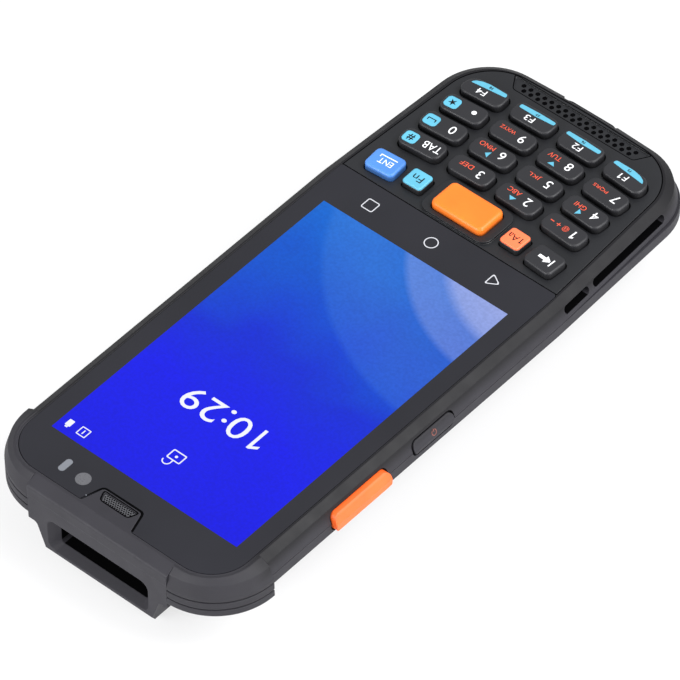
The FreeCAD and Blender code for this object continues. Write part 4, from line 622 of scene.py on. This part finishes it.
# Cyan patches with a dark mark, beside the last column's legends
PATCH_X = 23.3
PATCH_THICK = 0.06
STAR = [(radius * math.cos(math.radians(90 + 36 * step)),
         radius * math.sin(math.radians(90 + 36 * step)))
        for step, radius in enumerate((1.1, 0.4) * 5)]
SPACE = [(-1.1, 0.35), (-1.1, -0.5), (1.1, -0.5), (1.1, 0.35), (0.85, 0.35), (0.85, -0.25),
         (-0.85, -0.25), (-0.85, 0.35)]
for key, y, mark in (("key_tab", -46.2, "#"), ("key_0", -53.2, SPACE), ("key_dot", -60.3, STAR)):
    shape(f"{key}_cap_mark", rounded(1.8, 1.65, (0.95,) * 4, 6), PATCH_X, y, TURN[key],
          "cyan", key, thick=PATCH_THICK)
    if mark == "#":
        lettering(f"{key}_mark", mark, PATCH_X, y, 2.0, "dark_print", key, TURN[key],
                  KEY_TOP + PATCH_THICK, weight=0.02)
    else:
        shape(f"{key}_mark", mark, PATCH_X, y, TURN[key], "dark_print", key,
              top=KEY_TOP + PATCH_THICK)

# Cyan strips along the function keys' edge towards the foot
STRIPS = {
    "f1": [(-24.5, -67.9), (-23.9, -68.85), (-22.5, -69.55), (-20.5, -69.95), (-15.6, -69.95),
           (-15.3, -68.95), (-18.8, -68.55), (-22.0, -68.2)],
    "f2": [(-11.4, -69.85), (-6.5, -70.12), (-1.8, -70.1), (-1.7, -69.15), (-6.5, -68.75),
           (-11.4, -68.8)],
}
STRIPS["f3"] = [(-x, y) for x, y in STRIPS["f2"]]
STRIPS["f4"] = [(-x, y) for x, y in STRIPS["f1"]]
for label, points in STRIPS.items():
    plate(f"key_{label}_strip", soft(points, 0.45), KEY_TOP + SKIN / 2, KEY_TOP + SKIN * 2,
          "cyan_print", f"key_{label}")

for label, number, x in (("f1", "F5", -19.7), ("f2", "F6", -6.5), ("f3", "F7", 6.5),
                         ("f4", "F8", 19.7)):
    lettering(f"key_{label}_small", number, x, -69.25 if abs(x) > 10 else -69.45, 0.75,
              "dark_print", f"key_{label}", TURN[f"key_{label}"], KEY_TOP + SKIN, weight=0.03)

shape("key_back_arrow", [(-1.6, 0.2), (-0.2, 1.05), (-0.2, 0.42), (1.6, 0.42), (1.6, -0.42),
                         (-0.2, -0.42), (-0.2, -1.05), (-1.6, -0.2)],
      -22.6, -37.0, -4, "white_print", "key_back")
shape("key_back_bar", [(-0.16, -1.1), (0.16, -1.1), (0.16, 1.1), (-0.16, 1.1)], -24.7, -36.8, -4,
      "white_print", "key_back")
shape("key_enter_line", [(-2.2, -0.15), (2.2, -0.15), (2.2, 0.7), (1.95, 0.7), (1.95, 0.12),
                         (-2.2, 0.12)], 22.6, -38.3, 4, "white_print", "key_enter")


# Display

MARKS = GLASS + SKIN * 2


def on_glass(name, points, x, y, finish="glow"):
    """A mark on the glass, given about x, y."""
    plate(name, moved(points, x, y), MARKS, MARKS + SKIN, finish, "terminal")


def line_on_glass(name, outer, inner, x, y):
    """A lit line between two outlines, given about x, y."""
    ring(name, moved(outer, x, y), moved(inner, x, y), MARKS, MARKS + SKIN, "glow", "terminal")


plate("display_picture", [(-DISPLAY_HALF, DISPLAY_LOW), (DISPLAY_HALF, DISPLAY_LOW),
                          (DISPLAY_HALF, DISPLAY_HIGH), (-DISPLAY_HALF, DISPLAY_HIGH)],
      GLASS, GLASS + SKIN, "picture", "terminal")
CLOCK_Y = 41.3
CLOCK_HEIGHT = 6.4
lettering("clock", "0:29", 2.1, CLOCK_Y, CLOCK_HEIGHT, "glow", "terminal", 0, MARKS, 17.6, -0.002)
shape("clock_figure", one(CLOCK_HEIGHT, 0.8), -9.9, CLOCK_Y, 0, "glow", "terminal",
      GLASS + SKIN * 1.5)
line_on_glass("lock_body", rounded(1.85, 1.4, (0.35,) * 4, 4), rounded(1.55, 1.1, (0.15,) * 4, 4),
              0.2, 55.9)
BOW = [(1.1 + radius * math.cos(math.radians(angle)),
        58.0 + radius * math.sin(math.radians(angle)))
       for radius, angles in ((1.15, range(0, 181, 15)), (0.87, range(180, -1, -15)))
       for angle in angles]
on_glass("lock_bow", BOW[:13] + [(-0.05, 57.3), (0.23, 57.3)] + BOW[13:], 0.0, 0.0)
on_glass("lock_hole", circle(0.35, 20), 0.2, 56.0)
line_on_glass("status_box", rounded(1.25, 1.25, (0.2,) * 4, 4), rounded(1.0, 1.0, (0.05,) * 4, 4),
              19.8, 63.5)
on_glass("status_bar", rounded(0.14, 0.6, (0.05,) * 4, 2), 19.8, 63.5)
on_glass("status_cell", rounded(0.7, 0.95, (0.2,) * 4, 4), 23.8, 63.4)
on_glass("status_cap", rounded(0.35, 0.2, (0.05,) * 4, 2), 23.8, 64.6)

NAV_Y = -26.0
line_on_glass("nav_back", soft([(1.35, 1.85), (-1.75, 0.0), (1.35, -1.85)], 0.8),
              soft([(1.1, 1.45), (-1.27, 0.0), (1.1, -1.45)], 0.6), -17.6, NAV_Y)
line_on_glass("nav_home", circle(1.65), circle(1.41), 0.1, NAV_Y)
line_on_glass("nav_recent", rounded(1.6, 1.6, (0.5,) * 4, 5), rounded(1.36, 1.36, (0.3,) * 4, 5),
              17.5, NAV_Y)

# What shows through the upper edge of the glass
on_glass("camera_disc", circle(1.75), 10.9, 73.25, "grey_print")
on_glass("sensor_window", rounded(0.85, 1.9, (0.8,) * 4, 8), 16.4, 72.8, "light_guide")
on_glass("microphone", circle(0.16, 12), 7.4, 76.2, "light_guide")

# The rear camera behind its window, and the rear lamp
REAR = (0.0, 41.5)
LAMP = (10.5, 41.5)
BACK_PRINT = (REAR_FACE - SKIN * 2, REAR_FACE - SKIN)
ring("rear_camera_ring", moved(circle(3.1), *REAR), moved(circle(2.5), *REAR), *BACK_PRINT,
     "steel", "terminal")
# The iris's black is painted shade inside the camera
plate("rear_camera_iris", moved(circle(2.5), *REAR), *BACK_PRINT, "hole", "terminal")
plate("rear_camera_pupil", moved(circle(0.9, 28), *REAR), REAR_FACE - SKIN * 3,
      REAR_FACE - SKIN * 2, "grey_print", "terminal")
ring("rear_lamp_ring", moved(circle(2.15), *LAMP), moved(circle(1.75), *LAMP), *BACK_PRINT,
     "tray", "terminal")


# The earpiece's and the speaker's perforations, and the lines round both, painted black as shade

def perforations(name, rows, radius, sides, height):
    """Holes in rows painted black as shade, each row given by its height on the plan and its
    holes' places.
    """
    corners = []
    for y, places in rows:
        for x in places:
            corners += [(x + a, y + b, height) for a, b in circle(radius, sides)]
    faces = [tuple(range(start, start + sides)) for start in range(0, len(corners), sides)]
    piece(name, corners, faces, "hole", "terminal")


def spread(middle, half, pitch, shift):
    """Places at a pitch, as many as fit within half the width on either side of the middle."""
    count = int(half / pitch)
    return [middle + shift + pitch * step for step in range(-count, count + 1)]


perforations("earpiece_holes", [
    (73.3 + 0.5 * row, spread(0.4, 4.1 - 0.25 * row, 0.6, 0.15 if row % 2 else -0.15))
    for row in range(4)], 0.21, 8, EAR_MESH)
perforations("speaker_holes", [(-74.775, [2 * step - 15 for step in range(16)]),
                               (-76.025, [2 * step - 16 for step in range(17)])],
             0.62, 6, SPEAKER_FACE + SKIN)

LINE = (GLASS + SKIN / 2, GLASS + SKIN)
EAR = [(-4.25, 72.95), (5.05, 72.95), (4.15, 75.15), (-3.35, 75.15)]
EAR_OUTER = [(-4.75, 72.65), (5.55, 72.65), (4.45, 75.45), (-3.65, 75.45)]
# Painted shade: dark rings where the earpiece and the speaker sit in recesses
ring("earpiece_shade_line", soft(EAR_OUTER, 0.9), soft(EAR, 0.6), *LINE, "hole", "terminal")
SPEAKER = [(-19.35, -77.2), (19.35, -77.2), (17.05, -73.6), (-17.05, -73.6)]
SPEAKER_OUTER = [(-19.75, -77.4), (19.75, -77.4), (17.2, -73.4), (-17.2, -73.4)]
ring("speaker_shade_line", soft(SPEAKER_OUTER, 0.8), soft(SPEAKER, 0.6), *LINE, "hole", "terminal")

# Painted shade: a dark line in the groove between the keypad's panel and the rim
PANEL = NODES["keypad_panel"]
CORNERS = [PANEL.matrix_world @ corner.co / MM for corner in PANEL.data.vertices]
CORNERS = [(corner.x, corner.y) for corner in CORNERS if corner.z > GLASS - 0.02]
EDGE = [CORNERS[i] for i in convex_hull_2d([Vector(corner) for corner in CORNERS])]
MIDDLE = (min(y for x, y in EDGE) + max(y for x, y in EDGE)) / 2
ring("panel_shade_line", [(x * 1.008, MIDDLE + (y - MIDDLE) * 1.011) for x, y in EDGE], EDGE,
     *LINE, "hole", "terminal")

# Painted shade in the groove round the earpiece's tab, wide at one side and fine at the other
GROOVE = soft([(-7.05, 77.5), (-5.35, 71.85), (6.15, 71.95), (7.75, 77.5)], 1.1)[5:-5]
GROOVE_INNER = soft([(-6.5, 77.5), (-4.95, 72.35), (5.75, 72.3), (7.6, 77.5)], 0.8)[5:-5]
GROOVE = [(-7.05, 77.5)] + GROOVE + [(7.75, 77.5)]
GROOVE_INNER = [(-6.5, 77.5)] + GROOVE_INNER + [(7.6, 77.5)]
piece("tab_groove_shade", [(x, y, GLASS + SKIN) for x, y in GROOVE + GROOVE_INNER],
      [(i, i + 1, len(GROOVE) + i + 1, len(GROOVE) + i) for i in range(len(GROOVE) - 1)],
      "hole", "terminal")


# Painted shade: dark walls inside the scan window's tunnel and behind the strap slots

TUNNEL = [(12.38, 6.82), (-12.38, 6.82), (-12.38, 13.58), (12.38, 13.58)]
SLOTS = (("upper", -39.4, -30.9), ("lower", -66.4, -41.0))
SLOT_WALL = 29.93
SLOT_FLOOR = 19.03
SLOT_LOW = 19.1
SLOT_HIGH = 21.0


def slot_lip(y):
    """How far out the slots' lower walls reach, a little more towards the scan end."""
    return 32.05 + 0.0465 * (y + 66.4)


piece("window_tunnel_shade", [(x, y, z) for y in (76.55, 79.15) for x, z in TUNNEL],
      [(i, (i + 1) % 4, 4 + (i + 1) % 4, 4 + i) for i in range(4)], "hole", "terminal")
for hand, side in ((-1, "left"), (1, "right")):
    inner = hand * SLOT_WALL
    for part, low, high in SLOTS:
        piece(f"slot_{side}_{part}",
              [(inner, low, SLOT_LOW), (inner, high, SLOT_LOW),
               (inner, high, SLOT_HIGH), (inner, low, SLOT_HIGH),
               (hand * slot_lip(high), high, SLOT_FLOOR), (hand * slot_lip(low), low, SLOT_FLOOR),
               (inner, low, SLOT_FLOOR), (inner, high, SLOT_FLOOR)],
              [(0, 1, 2, 3), (4, 5, 6, 7)], "hole", "terminal")


# Painted shade in the gaps round the side buttons, and the power symbol

WALL = 34.3
WALL_BEND = 18.2
WALL_LEAN = 0.375
BUTTON_Y = 13.2
BUTTON_Z = 18.65
BUTTON_OUT = 0.4
SYMBOL_Z = 19.2


def wall(height):
    """How far out the side wall stands at a height: upright, then leaning inwards."""
    return WALL - WALL_LEAN * max(height - WALL_BEND, 0.0)


def side_gap_shade(name, hand, y, z, half_length, half_height, radius, width=0.18):
    """A dark line of painted shade on the side wall round a button's opening."""
    lines = []
    for extra in (width, 0.0):
        outline = rounded(half_length + extra, half_height + extra, (radius + extra,) * 4, 4)
        lines.append([tuple(start[k] + (end[k] - start[k]) * step / 8 for k in (0, 1))
                      for start, end in zip(outline, outline[1:] + outline[:1])
                      for step in range(8)])
    count = len(lines[0])
    corners = [(hand * (wall(z + up) + SKIN), y + along, z + up) for line in lines
               for along, up in line]
    piece(name, corners, [(i, (i + 1) % count, count + (i + 1) % count, count + i)
                          for i in range(count)], "hole", "terminal")


side_gap_shade("power_gap_shade", -1, BUTTON_Y, BUTTON_Z, 6.63, 1.88, 1.4)
side_gap_shade("volume_gap_shade", 1, BUTTON_Y, BUTTON_Z, 6.63, 1.88, 1.4)
side_gap_shade("scan_gap_shade", -1, 37.0, 18.03, 9.03, 2.5, 1.6, 0.12)


def power_mark(steps=24):
    """An open circle with a bar in its gap, on the power button's sloping face."""
    flat = []
    for radius in (0.75, 0.58):
        for step in range(steps + 1):
            angle = math.radians(120 + 300 * step / steps)
            flat.append((radius * math.cos(angle), radius * math.sin(angle)))
    faces = [(i, i + 1, steps + 2 + i, steps + 1 + i) for i in range(steps)]
    faces.append(tuple(range(len(flat), len(flat) + 4)))
    flat += [(-0.09, 0.15), (0.09, 0.15), (0.09, 0.85), (-0.09, 0.85)]
    piece("power_mark", [(-wall(SYMBOL_Z + z) - BUTTON_OUT - 0.02, BUTTON_Y - x, SYMBOL_Z + z)
                         for x, z in flat], faces, "dim_print", "power_button")


power_mark()


# Studio

def floor_material():
    """Matte, and partly white light to the camera and in reflections."""
    material = bpy.data.materials.new("floor")
    material.use_nodes = True
    tree = material.node_tree
    tree.nodes.clear()

    def calculation(operation, first, second):
        node = tree.nodes.new("ShaderNodeMath")
        node.operation = operation
        tree.links.new(first, node.inputs[0])
        if isinstance(second, float):
            node.inputs[1].default_value = second
        else:
            tree.links.new(second, node.inputs[1])
        return node.outputs[0]

    output = tree.nodes.new("ShaderNodeOutputMaterial")
    matte = tree.nodes.new("ShaderNodeBsdfDiffuse")
    matte.inputs["Color"].default_value = (0.86, 0.86, 0.87, 1)
    glow = tree.nodes.new("ShaderNodeEmission")
    glow.inputs["Strength"].default_value = 1.0
    mix = tree.nodes.new("ShaderNodeMixShader")
    rays = tree.nodes.new("ShaderNodeLightPath").outputs
    reflected = calculation("MAXIMUM", rays["Is Glossy Ray"], rays["Is Transmission Ray"])
    seen = calculation("MAXIMUM", rays["Is Camera Ray"], reflected)
    tree.links.new(calculation("MULTIPLY", seen, 0.72), mix.inputs["Fac"])
    tree.links.new(matte.outputs[0], mix.inputs[1])
    tree.links.new(glow.outputs[0], mix.inputs[2])
    tree.links.new(mix.outputs[0], output.inputs["Surface"])
    return material


def studio():
    """A pale floor, soft lamps from above and an even sky."""
    floor = bpy.data.meshes.new("floor")
    floor.from_pydata([(-4, -4, 0), (4, -4, 0), (4, 4, 0), (-4, 4, 0)], [], [(0, 1, 2, 3)])
    floor.materials.append(floor_material())
    plane = bpy.data.objects.new("floor", floor)
    bpy.context.collection.objects.link(plane)

    world = bpy.data.worlds.new("studio")
    bpy.context.scene.world = world
    world.use_nodes = True
    sky = world.node_tree.nodes["Background"]
    sky.inputs["Color"].default_value = (0.97, 0.985, 1.0, 1)
    sky.inputs["Strength"].default_value = 0.62

    for name, place, aim, size, power in (
            ("key_lamp", (-0.55, -0.25, 0.75), (0, 0, 0), 0.5, 9.0),
            ("side_lamp", (-0.65, 0.05, 0.16), (0, 0, 0.02), 0.35, 2.2),
            ("end_lamp", (0.15, 0.75, 0.35), (0, 0.05, 0.01), 0.4, 6.5)):
        data = bpy.data.lights.new(name, "AREA")
        data.energy = power
        data.size = size
        lamp = bpy.data.objects.new(name, data)
        bpy.context.collection.objects.link(lamp)
        lamp.location = place
        lamp.rotation_euler = (Vector(aim) - Vector(place)).to_track_quat("-Z", "Y").to_euler()


def camera():
    """The photograph's view, from its solved perspective."""
    data = bpy.data.cameras.new("camera")
    data.lens = 356.46
    data.sensor_width = 36
    data.clip_start = 0.05
    data.clip_end = 20
    item = bpy.data.objects.new("camera", data)
    bpy.context.collection.objects.link(item)
    right = Vector((-0.75278, -0.65813, -0.01349))
    up = Vector((0.47411, -0.55629, 0.68247))
    back = Vector((-0.45666, 0.50736, 0.73079))
    place = Vector((-0.6595, 0.7369, 1.0719))
    item.matrix_world = Matrix((
        (right.x, up.x, back.x, place.x),
        (right.y, up.y, back.y, place.y),
        (right.z, up.z, back.z, place.z),
        (0, 0, 0, 1)))
    bpy.context.scene.camera = item


studio()
camera()
bpy.context.scene.view_settings.view_transform = "Standard"
